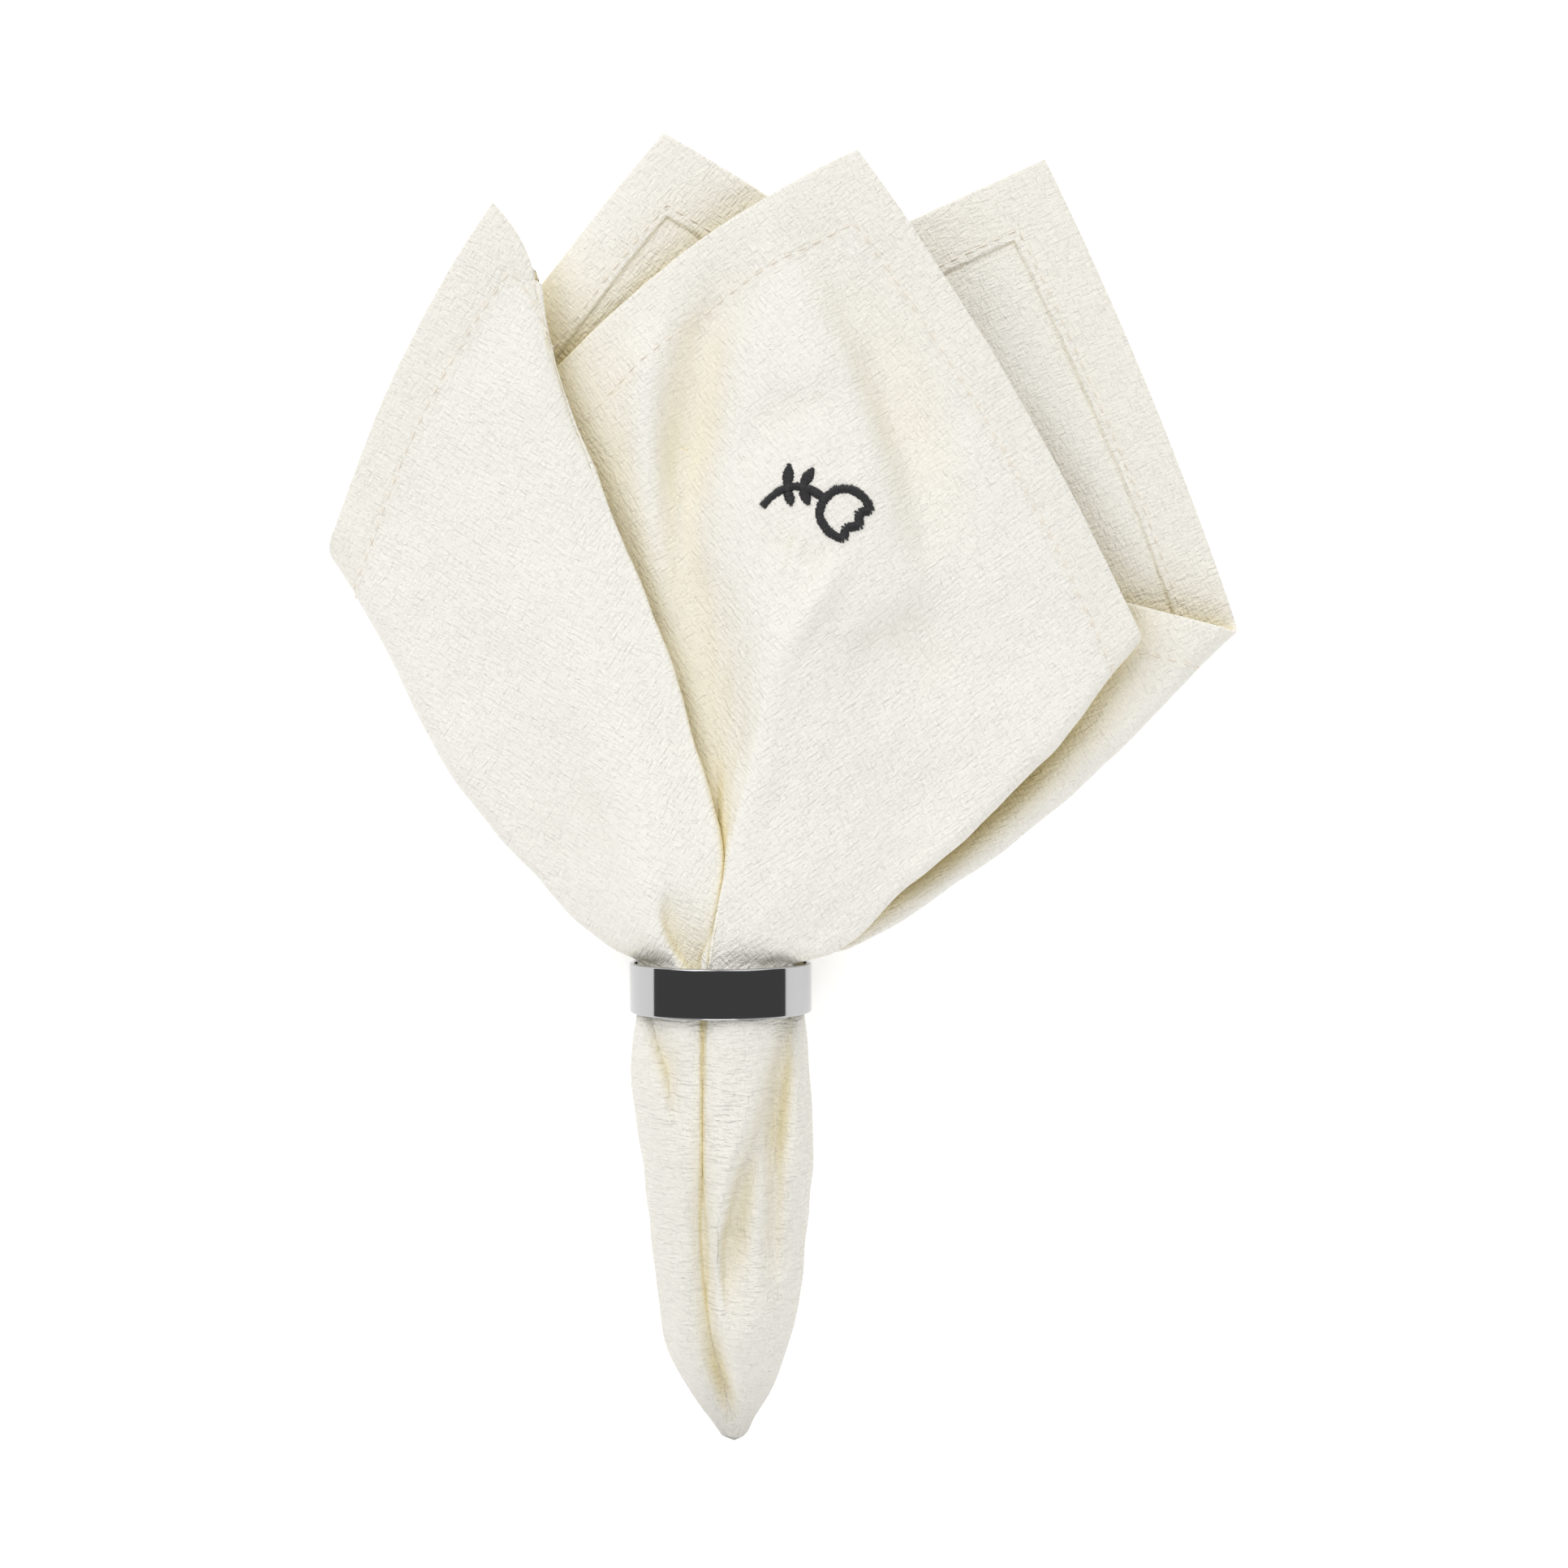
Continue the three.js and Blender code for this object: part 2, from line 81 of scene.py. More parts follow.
# One row per fold or corner, in order round the hem. along: its place on the hem.
# turn: -1 folds outwards, +1 inwards, 0 is a corner. nose: degrees the fold points to at the hem.
# x, y: where its hem end is seen. z, gap: its height and the room between its two layers there.
# neck: sideways sway close to the ring, greatest at the share neckAt of the way out.
# low, high: sway further out. settle: how soon it sinks. bow: how far the hem bows out.
HEM_COLUMNS = ["name", "along", "turn", "nose", "x", "y", "z", "gap",
               "neck", "neckAt", "low", "high", "settle", "bow"]
HEM_ROWS = [
    ["C", 0, 0, 0, 33.4, 203.9, 26.5, 0, 0, 0.1, 0.5, 11, 1.7, 3.4],
    ["cR", 138, -1, 0, 102.2, 84.0, 14.5, 6.0, 5, 0.03, 17, 8, 2.1, 0],
    ["gR", 221, 1, 180, 25.9, 112.0, 10.2, 2.6, 0, 0.03, 4, 0, 2.3, 0],
    ["dR", 326, -1, 0, 125.9, 86.0, 4.6, 8.0, 5, 0.03, 32, 4, 3.6, 2.0],
    ["D", 450, 0, 0, 78.8, 201.0, -0.5, 0, 0, 0.03, 8, 0, 7, 1.5],
    ["fL", 610, -1, 180, -66.0, 130.0, 1.6, 2.2, 0, 0.03, -6, 0, 5, 0],
    ["fR", 812, 1, 0, 52.0, 163.0, 3.9, 2.4, 0, 0.03, -2, 0, 4.2, 1.0],
    ["B", 900, 0, 0, -14.0, 207.9, 14.0, 0, 0, 0.03, 0, 0, 4.2, 0.5],
    ["bL", 1023, -1, 180, -88.0, 109.0, 6.7, 2.8, 0, 0.03, -20, -2, 3.2, 0],
    ["gL", 1139, 1, 0, 20.0, 113.0, 9.4, 2.6, 0, 0.03, 0, 0, 2.5, 0],
    ["aL", 1255, -1, 180, -94.5, 104.7, 16.2, 10.5, -2, 0.03, -25, -3, 2.2, 3.4],
    ["A", 1350, 0, 0, -55.5, 190.9, 28.0, 0, -3, 0.06, -4, 0, 1.8, 1.5],
    ["aR", 1372.5, -1, 0, -44.1, 170.9, 26.0, 1.5, 2.2, 0.1, 25, -5, 1.8, 0],
    ["pL1", 1432.5, 1, 180, -78.3, 135.5, 17.4, 7.0, 0, 0.03, 2, 2, 2.3, 0],
    ["pR", 1589, 1, 0, 70.0, 92.0, 16.2, 2.4, 0, 0.03, -4, 0, 1.8, 0],
    ["pL2", 1708, -1, 180, -42.5, 147.0, 18.5, 2.6, 2.5, 0.08, 17, 7, 2.2, 4.7],
]

# The same folds inside the ring, measured from the ring's middle. dir: degrees the fold points to.
# round: where the fold's line runs on the tail, in degrees round it.
RING_COLUMNS = ["name", "ringX", "ringZ", "dir", "ringGap", "round"]
RING_ROWS = [
    ["C", -2.4, 18.9, 0, 0, 80],
    ["cR", 17.4, 8.4, -30, 2.6, 40],
    ["gR", 3.4, 2.6, 190, 2.4, 32],
    ["dR", 19.8, -2.4, -30, 3.0, -10],
    ["D", 3.0, -19.6, 0, 0, -75],
    ["fL", -13.4, -13.6, 170, 2.4, -110],
    ["fR", 6.0, -10.6, 0, 2.4, -133],
    ["B", -6.0, -8.2, 180, 0, -147],
    ["bL", -18.8, -6.4, 185, 2.6, -159],
    ["gL", 0.2, -3.4, 0, 2.4, -170],
    ["aL", -19.8, 0.4, 205, 2.8, -182],
    ["A", -8.5, 17.6, 0, 0, -244],
    ["aR", -3.0, 16.6, 0, 2.8, -257],
    ["pL1", -12.6, 5.4, 190, 2.4, -259.5],
    ["pR", 2.6, 7.8, 0, 2.2, -261.5],
    ["pL2", -4.0, 17.2, 170, 2.6, -264],
]

# The tail's outline below the ring: half width, half height and middle at each place down it
TAIL_COLUMNS = ["y", "width", "height", "x", "z"]
TAIL_ROWS = [
    [-6.5, 20.1, 20.1, 0, 22.2],
    [-13, 20.7, 20.0, 0, 22.0],
    [-26, 20.5, 19.4, 0.4, 21.4],
    [-43.6, 19.6, 18.0, 1.4, 20.0],
    [-58.2, 18.3, 16.3, 1.8, 18.2],
    [-77, 16.7, 13.8, 2.0, 15.8],
    [-89.5, 14.3, 11.4, 1.2, 13.4],
    [-101.5, 9.2, 8.0, 1.8, 11.0],
    [-109, 4.8, 4.6, 2.4, 9.6],
    [-113.2, 2.9, 2.4, 2.9, 9.0],
    [-114.4, 0, 0, 3.0, 9.0],
]

# Soft troughs (height below zero) and ridges pressed into the layers that show and into the tail.
# Each line runs through points of x, y and the height there, and fades out over its width.
# With steep, the right of the line is that narrow.
CREASES = [
    {"layer": "C", "width": 7.5, "steep": 6,
     "line": [(8, 184, 0), (-4, 158, -5.0), (-9, 132, -6.5), (-11, 108, -5.2), (-7, 82, -2.2),
              (-2, 60, 0)]},
    {"layer": "C", "width": 7,
     "line": [(-10, 168, 0.5), (-18, 150, 4.0), (-21, 130, 4.6), (-21, 110, 3.2), (-17, 92, 0.5)]},
    {"layer": "C", "width": 14, "steep": 6,
     "line": [(15, 193, 0), (30, 166, -5.6), (38, 150, -8.0), (44, 134, -8.0), (48, 118, -5.4),
              (52, 104, -2.4), (56, 94, 0)]},
    {"layer": "C", "width": 24, "steep": 8,
     "line": [(66, 108, 0), (60, 94, -2.6), (49, 85, -4.0), (36, 80, -3.2), (24, 78, 0)]},
    {"layer": "C", "width": 3.0,
     "line": [(13, 74, 0.4), (18, 85, 1.4), (24, 95, 2.2), (30, 104, 0.8)]},
    {"layer": "C", "width": 4.0,
     "line": [(13.4, 74, 0.6), (10.2, 56, 1.5), (6.5, 40, 1.3), (2.0, 25, 0.3)]},
    {"layer": "C", "width": 6.5,
     "line": [(-3, 96, -0.8), (0.4, 76, -2.0), (1.8, 57, -2.4), (2.0, 42, -1.4), (0.6, 28, 0)]},
    {"layer": "C", "width": 3.6,
     "line": [(4, 124, -0.6), (11, 137, -1.7), (24, 142, -1.4), (33, 138, -0.3)]},
    {"layer": "C", "width": 1.8,
     "line": [(8, 111, -0.3), (16, 107, -1.2), (27, 103, -0.3)]},
    {"layer": "C", "width": 1.5,
     "line": [(10, 106, -0.1), (17, 103, -0.8), (24, 101, -0.1)]},
    {"layer": "A", "width": 7.0, "steep": 1.5,
     "line": [(-11.5, 26, 0), (-12.0, 17, -3.4), (-10, 11, -4.8), (-6.5, 5.5, -4.4),
              (-4.5, 0, -1.5), (-4, -4, 0)]},
    {"layer": "A", "width": 8,
     "line": [(-37, 57, -0.6), (-32, 42, -1.8), (-26, 28, -1.0)]},
    {"layer": "A", "width": 6,
     "line": [(-51, 169, -1.4), (-60, 150, -0.9), (-70, 130, -0.4)]},
    {"layer": "B", "width": 15,
     "line": [(-62, 140, 1.0), (-46, 162, 4.2), (-28, 186, 2.6), (-14, 206, 0)]},
    {"layer": "D", "width": 14,
     "line": [(56, 172, 1.0), (74, 142, 4.2), (92, 110, 4.0), (102, 94, 1.5)]},
    {"layer": "D", "width": 6,
     "line": [(76, 140, -0.4), (86, 122, -1.4), (98, 104, -1.2)]},
    {"layer": "third", "width": 9,
     "line": [(102, 80, -0.8), (89, 65, -5.6), (76, 52, -10.0), (60, 36, -7.8), (38, 16, -1.5)]},
    {"layer": "tail", "width": 0.7,
     "line": [(-3.5, -5, -1.3), (-3.7, -20, -1.2), (-4.0, -56, -1.1), (-3.4, -76, -0.9),
              (-1.8, -88, 0)]},
    {"layer": "tail", "width": 3.0,
     "line": [(-3.5, -5, -1.8), (-3.7, -18, -2.2), (-4.0, -56, -2.8), (-3.0, -80, -3.2),
              (-1.0, -91, -4.0), (0.8, -99, -3.6), (2.2, -106, -1.6), (2.6, -110.5, 0)]},
    {"layer": "tail", "width": 2.0,
     "line": [(-2.6, -82, 0), (-0.8, -92, -1.4), (0.9, -99, -2.0), (2.0, -105, -1.2),
              (2.6, -110, 0)]},
    {"layer": "tail", "width": 6.0, "steep": 1.6,
     "line": [(15.4, -5, -2.2), (12.4, -20, -3.6), (9.3, -32.6, -5.0), (5.1, -42.5, -5.8),
              (2.6, -56.3, -5.8), (1.6, -68, -4.0), (2.2, -77, -1.8), (3.4, -84, 0)]},
    {"layer": "tail", "width": 3.0,
     "line": [(9.4, -20, 0.4), (6.2, -32.6, 1.0), (2.0, -43, 1.2), (-0.4, -57, 1.0),
              (-1.0, -70, 0)]},
    {"layer": "tail", "width": 2.8,
     "line": [(15.4, -5, -3.4), (14.4, -22, -4.0), (13.2, -39, -4.4), (12.6, -60, -3.6),
              (12.0, -74, -1.6), (11.5, -86, 0)]},
    {"layer": "tail", "width": 6, "steep": 1.9,
     "line": [(-16.4, -4, -2.4), (-14.8, -11, -4.2), (-12.4, -18, -4.6), (-10.6, -26, -2.8),
              (-9.6, -38, 0)]},
    {"layer": "tail", "width": 4.5,
     "line": [(9, -68, 0), (7.4, -79, 1.6), (6.4, -90, 1.0), (6, -99, 0)]},
    {"layer": "tail", "width": 4.0,
     "line": [(-10, -60, 0), (-10.5, -76, 0.9), (-8.5, -90, 0.9), (-5, -101, 0)]},
]

# Layers, each named after the fold before it. corner: whose weave it follows. group: its creases.
# fadeStart, fadeEnd: shares of its width where creases come in and die out. steps: its columns.
LAYER_COLUMNS = ["name", "corner", "group", "fadeStart", "fadeEnd", "steps"]
LAYER_ROWS = [
    ["C", "C", "C", None, (0.8, 1.0), 56],
    ["cR", "C", None, None, None, 8],
    ["gR", "D", "third", (0.0, 0.2), (0.72, 0.97), 28],
    ["dR", "D", "D", (0.05, 0.3), None, 36],
    ["D", "D", None, None, None, 22],
    ["fL", "D", None, None, None, 8],
    ["fR", "B", "B", (0.2, 0.7), None, 18],
    ["B", "B", "B", None, (0.7, 1.0), 28],
    ["bL", "B", None, None, None, 8],
    ["gL", "A", None, None, None, 8],
    ["aL", "A", "A", (0.0, 0.3), None, 48],
    ["A", "A", "A", None, None, 24],
    ["aR", "A", "A", None, (0.2, 1.0), 6],
    ["pL1", "A", None, None, None, 7],
    ["pR", "C", None, None, None, 8],
    ["pL2", "C", "C", (0.02, 0.3), None, 50],
]
SHOWN_FOLDS = ["cR", "dR", "fL", "bL", "aL", "aR", "pL2"]
SHOWN_NOSE_STEPS = 8
HIDDEN_NOSE_STEPS = 4

# Rows of the sheet: down the tail, through the ring, up the fan, and over the hem by distance from
# its edge. With a crowding over 1 the rows lie closer at the tip and at the ring.
TAIL_STEPS = 45
TAIL_CROWDING = 1.08
RING_STOPS = [-NECK, -4, -1.5, 1.5, 4, NECK]
FAN_STEPS = 50
FAN_CROWDING = 1.2
HEM_EDGES = [15.6, 15.0, 14.75, 14.2, 13.5, STITCH_EDGE, 12.3, 10.5, 7, 3.5, RIM_RADIUS, 0.35, 0.08, 0]
FAR_FROM_HEM = 99.0

# Shares of the way from the ring to the hem by which a fold has changed from ring to fan
SWAY_DIES = 0.22
HEADING_TURNED = 0.15
NOSE_TURNED = 0.3
GAP_OPENED = 0.5
SLIP_STARTS = 0.1
SLIP_FULL = 0.5
LAYERS_FLAT = 0.5
BOW_STARTS = 0.3
BOW_FULL = 1.2

# Slight unevenness of the cloth: wave length, direction in degrees, phase and height of each swell.
# It comes in between the two heights above the surface, so the cloth lies flat there.
SWELL_LOW = 1.0
SWELL_HIGH = 6.0
SWELL_COLUMNS = ["length", "degrees", "phase", "height"]
SWELL_ROWS = [
    [61, 25, 0.4, 0.26],
    [47, 108, 2.1, 0.24],
    [33, 64, 4.0, 0.16],
    [26, 151, 1.2, 0.14],
    [17, 12, 5.1, 0.07],
    [14, 97, 3.3, 0.07],
    [11, 48, 0.9, 0.05],
    [9, 133, 2.7, 0.04],
]


def as_arrays(columns, rows):
    return {name: np.array([row[i] for row in rows]) for i, name in enumerate(columns)}


def as_dicts(columns, rows):
    return [dict(zip(columns, row)) for row in rows]


GUIDES = {**as_arrays(HEM_COLUMNS, HEM_ROWS), **as_arrays(RING_COLUMNS, RING_ROWS)}
TAIL = as_arrays(TAIL_COLUMNS, TAIL_ROWS)
SWELLS = as_dicts(SWELL_COLUMNS, SWELL_ROWS)
LAYERS = as_dicts(LAYER_COLUMNS, LAYER_ROWS)
COUNT = len(HEM_ROWS)


def lerp(a, b, t):
    return a + (b - a) * t


def smooth(start, end, value):
    t = np.clip((value - start) / (end - start), 0, 1)
    return t * t * (3 - 2 * t)


def hermite(p0, p1, m0, m1, t):
    a = t * t
    b = a * t
    return (2 * b - 3 * a + 1) * p0 + (b - 2 * a + t) * m0 + (3 * a - 2 * b) * p1 + (b - a) * m1


def unit(vectors):
    length = np.linalg.norm(vectors, axis=-1, keepdims=True)
    return vectors / np.maximum(length, 1e-9)


def lift(x, y, z):
    """A place seen in the ring's mid plane, brought to its own height along the line of sight."""
    share = (EYE[2] - z) / (EYE[2] - RING_Z)
    return EYE[0] + (x - EYE[0]) * share, EYE[1] + (y - EYE[1]) * share


def reach(along):
    """Distance from the napkin's middle to its hem, along the straight line to a place on the hem."""
    return np.hypot(HALF, np.mod(along, NAPKIN_SIDE) - HALF)


def on_square(along):
    """The place on the hem of the napkin laid flat."""
    side = np.floor_divide(np.mod(along, 4 * NAPKIN_SIDE), NAPKIN_SIDE).astype(int)
    part = np.mod(along, NAPKIN_SIDE) - HALF
    x = np.choose(side, [part * 0 + HALF, -part, part * 0 - HALF, part])
    y = np.choose(side, [-part, part * 0 - HALF, part, part * 0 + HALF])
    return np.stack([x, y], axis=-1)


def tail_value(column, y):
    """Smooth value of one column of the tail's outline."""
    i = int(np.clip(np.searchsorted(-TAIL["y"], -y, side="right") - 1, 0, len(TAIL_ROWS) - 2))

    def slope(k):
        a = max(k - 1, 0)
        b = min(k + 1, len(TAIL_ROWS) - 1)
        return (TAIL[column][b] - TAIL[column][a]) / (TAIL["y"][b] - TAIL["y"][a])

    span = TAIL["y"][i + 1] - TAIL["y"][i]
    t = (y - TAIL["y"][i]) / span
    return hermite(TAIL[column][i], TAIL[column][i + 1], slope(i) * span, slope(i + 1) * span, t)


def fold_frames(tip, heading, rise, degrees, gap, skew):
    """Frames of all folds in a row: the middle of each nose, the way it points, the way across its
    layers, the guide's heading and rise, and how far the row slips along the guide round the nose."""
    side = np.column_stack([heading[:, 1], -heading[:, 0]])
    angle = np.radians(degrees)[:, None]
    up = np.array([0.0, 0.0, 1.0])
    flat = np.column_stack([side, np.zeros(COUNT)])
    nose = flat * np.cos(angle) + up * np.sin(angle)
    across = up * np.cos(angle) - flat * np.sin(angle)
    radius = np.where(GUIDES["turn"] == 0, 0, gap / 2)
    slant = (np.mod(GUIDES["along"], NAPKIN_SIDE) - HALF) / HALF
    slip = np.column_stack([heading, rise]) * (skew * radius * slant)[:, None]
    return {"axis": tip - nose * radius[:, None], "nose": nose, "across": across, "radius": radius,
            "heading": heading, "rise": rise, "side": side, "slip": slip}


def packed_frames(y):
    """Frames of all folds in a row inside the ring, packed in its round section."""
    tip = np.column_stack([GUIDES["ringX"], np.full(COUNT, y), RING_Z + GUIDES["ringZ"]])
    heading = np.tile([0.0, 1.0], (COUNT, 1))
    return fold_frames(tip, heading, np.zeros(COUNT), GUIDES["dir"], GUIDES["ringGap"], 0)


def fan_share(place, edge, along):
    """Share of the way from the ring to the hem. place counts up to the hem's inner edge, edge is a
    distance from the hem itself."""
    far = reach(along)
    inner = (far * (1 - HEM_WIDTH / HALF) - TAIL_LENGTH) / (far - TAIL_LENGTH)
    if edge is None:
        return place * inner
    return 1 - (1 - inner) * edge / HEM_WIDTH


def fan_frames(place, edge):
    """Frames of all folds in a row of the fan."""
    t = fan_share(place, edge, GUIDES["along"])
    hem_x, hem_y = lift(GUIDES["x"], GUIDES["y"], GUIDES["z"])
    start_x = GUIDES["ringX"]
    points = [
        np.column_stack([start_x, np.full(COUNT, NECK)]),
        np.column_stack([lerp(start_x, hem_x, 1 / 3) + GUIDES["low"], lerp(NECK, hem_y, 1 / 3)]),
        np.column_stack([lerp(start_x, hem_x, 2 / 3) + GUIDES["high"], lerp(NECK, hem_y, 2 / 3)]),
        np.column_stack([hem_x, hem_y]),
    ]
    s = t[:, None]
    point = ((1 - s) ** 3 * points[0] + 3 * s * (1 - s) ** 2 * points[1]
             + 3 * s * s * (1 - s) * points[2] + s ** 3 * points[3])
    speed = 3 * ((1 - s) ** 2 * (points[1] - points[0]) + 2 * s * (1 - s) * (points[2] - points[1])
                 + s * s * (points[3] - points[2]))
    most = GUIDES["neckAt"]
    point[:, 0] += GUIDES["neck"] * smooth(0, most, t) * (1 - smooth(most, most + SWAY_DIES, t))
    heading = unit(lerp(np.array([0.0, 1.0]), unit(speed), smooth(0, HEADING_TURNED, s)))
    start_z = RING_Z + GUIDES["ringZ"]
    z = lerp(start_z, GUIDES["z"], 1 - (1 - t) ** GUIDES["settle"])
    sinking = GUIDES["settle"] * np.maximum(1 - t, 1e-6) ** (GUIDES["settle"] - 1)
    rise = (GUIDES["z"] - start_z) * sinking / np.linalg.norm(speed, axis=1)
    degrees = lerp(GUIDES["dir"], GUIDES["nose"], smooth(0, NOSE_TURNED, t))
    gap = lerp(GUIDES["ringGap"], GUIDES["gap"], smooth(0, GAP_OPENED, t))
    skew = smooth(SLIP_STARTS, SLIP_FULL, t)
    return fold_frames(np.column_stack([point, z]), heading, rise, degrees, gap, skew)


def list_columns():
    """Every column of the sheet: points round each nose, then points over the layer after it."""
    fold, phi, share, along = [], [], [], []
    for k in range(COUNT):
        name = GUIDES["name"][k]
        steps = SHOWN_NOSE_STEPS if name in SHOWN_FOLDS else HIDDEN_NOSE_STEPS
        turns = [0.0] if GUIDES["turn"][k] == 0 else np.linspace(-math.pi / 2, math.pi / 2, steps + 1)
        for turn in turns:
            fold.append(k)
            phi.append(turn)
            share.append(-1.0)
            along.append(GUIDES["along"][k] + turn * GUIDES["gap"][k] / 2)
        after = (k + 1) % COUNT
        start = GUIDES["along"][k] + math.pi / 4 * GUIDES["gap"][k]
        span = (GUIDES["along"][after] - math.pi / 4 * GUIDES["gap"][after] - start) % (4 * NAPKIN_SIDE)
        for i in range(1, LAYERS[k]["steps"]):
            u = i / LAYERS[k]["steps"]
            fold.append(k)
            phi.append(0.0)
            share.append(u)
            along.append(start + u * span)
    columns = {"k": np.array(fold), "phi": np.array(phi), "u": np.array(share), "along": np.array(along)}
    return spread_round(columns)


def spread_round(columns):
    """Place of every column round the tail, where the columns between two guides are evenly spaced."""
    order = np.arange(len(columns["k"]))
    middle = [order[(columns["k"] == k) & (columns["u"] < 0)].mean() for k in range(COUNT)]
    knots = np.array(middle + [len(order)])
    rounds = np.append(GUIDES["round"], GUIDES["round"][0] - 360)
    columns["round"] = np.radians(np.interp(order, knots, rounds))
    return columns


COLUMNS = list_columns()
ON_LAYER = COLUMNS["u"] >= 0


def corner_slope(frames, both):
    """Slope of the cloth at each guide, from its own rise and from one neighbour to the other."""
    level = both[:, :2]
    climb = both[:, 2] - frames["rise"] * (level * frames["heading"]).sum(axis=1)
    width = (level * frames["side"]).sum(axis=1)
    width = np.where(np.abs(width) < 1e-3, 1e-3, width)
    return frames["heading"] * frames["rise"][:, None] + frames["side"] * (climb / width)[:, None]


def row_points(frames, spread, out):
    """A row of the sheet: round noses, joined by layers. spread is 1 where layers bend freely, 0 where
    they lie in flat stretches. out is the share of the hem's bow."""
    turn = GUIDES["turn"][:, None]
    radius = frames["radius"][:, None]
    quarter = turn * frames["across"] * radius + frames["slip"] * math.pi / 2
    after = frames["axis"] + quarter
    before = frames["axis"] - quarter
    p0 = after
    p1 = np.roll(before, -1, axis=0)
    chord = p1 - p0
    length = np.linalg.norm(chord, axis=1, keepdims=True)
    corner = turn == 0
    both = np.roll(chord, 1, axis=0) + chord
    ease = both / (np.roll(length, 1, axis=0) + length)
    slope = corner_slope(frames, both)
    leave = np.where(corner, ease * length, -frames["nose"] * length)
    arrive = np.where(np.roll(corner, -1, axis=0), np.roll(ease, -1, axis=0) * length,
                      np.roll(frames["nose"], -1, axis=0) * length)
    flat_leave = chord.copy()
    flat_leave[:, 2] = np.where(corner[:, 0], (slope * chord[:, :2]).sum(axis=1), leave[:, 2])
    flat_arrive = chord.copy()
    next_slope = np.roll(slope, -1, axis=0)
    flat_arrive[:, 2] = np.where(np.roll(corner[:, 0], -1), (next_slope * chord[:, :2]).sum(axis=1),
                                 arrive[:, 2])
    m0 = lerp(flat_leave, leave, spread)
    m1 = lerp(flat_arrive, arrive, spread)
    level = np.hypot(chord[:, 0], chord[:, 1])
    up = np.sign(chord[:, 0] * (p0 + p1)[:, 1] - chord[:, 1] * (p0 + p1)[:, 0])
    outwards = np.column_stack([-chord[:, 1], chord[:, 0], 0 * level])
    bow = outwards * (up * GUIDES["bow"] * out / level)[:, None]

    k = COLUMNS["k"]
    u = COLUMNS["u"][:, None]
    phi = COLUMNS["phi"][:, None]
    on_nose = frames["axis"][k] + frames["slip"][k] * phi + radius[k] * (
        frames["nose"][k] * np.cos(phi) + turn[k] * frames["across"][k] * np.sin(phi))
    on_layer = hermite(p0[k], p1[k], m0[k], m1[k], u) + 4 * u * (1 - u) * bow[k]
    return np.where(ON_LAYER[:, None], on_layer, on_nose)


def crease_height(crease, x, y):
    """Height of one crease at places x, y. With a steep side it is narrower to the right of its line."""
    best = np.full(len(x), np.inf)
    depth = np.zeros(len(x))
    width = np.zeros(len(x))
    line = crease["line"]
    for (x0, y0, d0), (x1, y1, d1) in zip(line, line[1:]):
        dx, dy = x1 - x0, y1 - y0
        t = np.clip(((x - x0) * dx + (y - y0) * dy) / (dx * dx + dy * dy), 0, 1)
        away = np.hypot(x - x0 - t * dx, y - y0 - t * dy)
        to_right = dx * (y - y0) - dy * (x - x0) < 0
        side_width = np.where(to_right, crease.get("steep", crease["width"]), crease["width"])
        width = np.where(away < best, side_width, width)
        depth = np.where(away < best, lerp(d0, d1, t), depth)
        best = np.minimum(away, best)
    return depth * np.exp(-(best / width) ** 2)


def crease_heights(points):
    """Height added by the soft troughs and ridges to a row of the ring or the fan."""
    height = np.zeros(len(points))
    for k, layer in enumerate(LAYERS):
        if layer["group"] is None:
            continue
        starts_plain = layer["fadeStart"] is None
        own = (COLUMNS["k"] == k) & (ON_LAYER | starts_plain)
        u = np.maximum(COLUMNS["u"][own], 0)
        fade = np.ones(len(u))
        if layer["fadeStart"]:
            fade *= smooth(*layer["fadeStart"], u)
        if layer["fadeEnd"]:
            fade *= 1 - smooth(*layer["fadeEnd"], u)
        for crease in CREASES:
            if crease["layer"] == layer["group"]:
                height[own] += fade * crease_height(crease, points[own, 0], points[own, 1])
    return height


def tail_row(y):
    """A row of the tail: one rounded section with grooves in its top."""
    ease = TAIL_EASE * smooth(-NECK, GATHERED, y) * smooth(0, TIP_EASE, y + TAIL_LENGTH)
    width = tail_value("width", y) + ease
    x = tail_value("x", y) + width * np.cos(COLUMNS["round"])
    z = tail_value("z", y) + tail_value("height", y) * np.sin(COLUMNS["round"])
    row = np.column_stack([x, np.full(len(x), y), z])
    on_top = smooth(0, TAIL_TOP, np.sin(COLUMNS["round"]))
    for crease in CREASES:
        if crease["layer"] == "tail":
            row[:, 2] += on_top * crease_height(crease, row[:, 0], row[:, 1])
    return row


def ring_row(y):
    """A row inside the ring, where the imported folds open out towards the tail, clear of the wall."""
    p = row_points(packed_frames(y), 1, 0)
    p[:, 2] += crease_heights(p)
    p = lerp(p, tail_row(min(y, -NECK)), smooth(NECK, -NECK, y))
    out = np.hypot(p[:, 0], p[:, 2] - RING_Z)
    share = np.minimum(1, PACKED / out)
    return np.column_stack([p[:, 0] * share, np.full(len(p), y), RING_Z + (p[:, 2] - RING_Z) * share])


def fan_row(place, edge):
    """A row of the fan, its creases pressed in, nothing of it below the surface it lies on."""
    reached = place if edge is None else 2 - edge / HEM_WIDTH
    spread = 1 - smooth(0, LAYERS_FLAT, reached)
    p = row_points(fan_frames(place, edge), spread, smooth(BOW_STARTS, BOW_FULL, reached))
    p[:, 2] += crease_heights(p)
    p[:, 2] = np.maximum(p[:, 2], FLOOR)
    return p


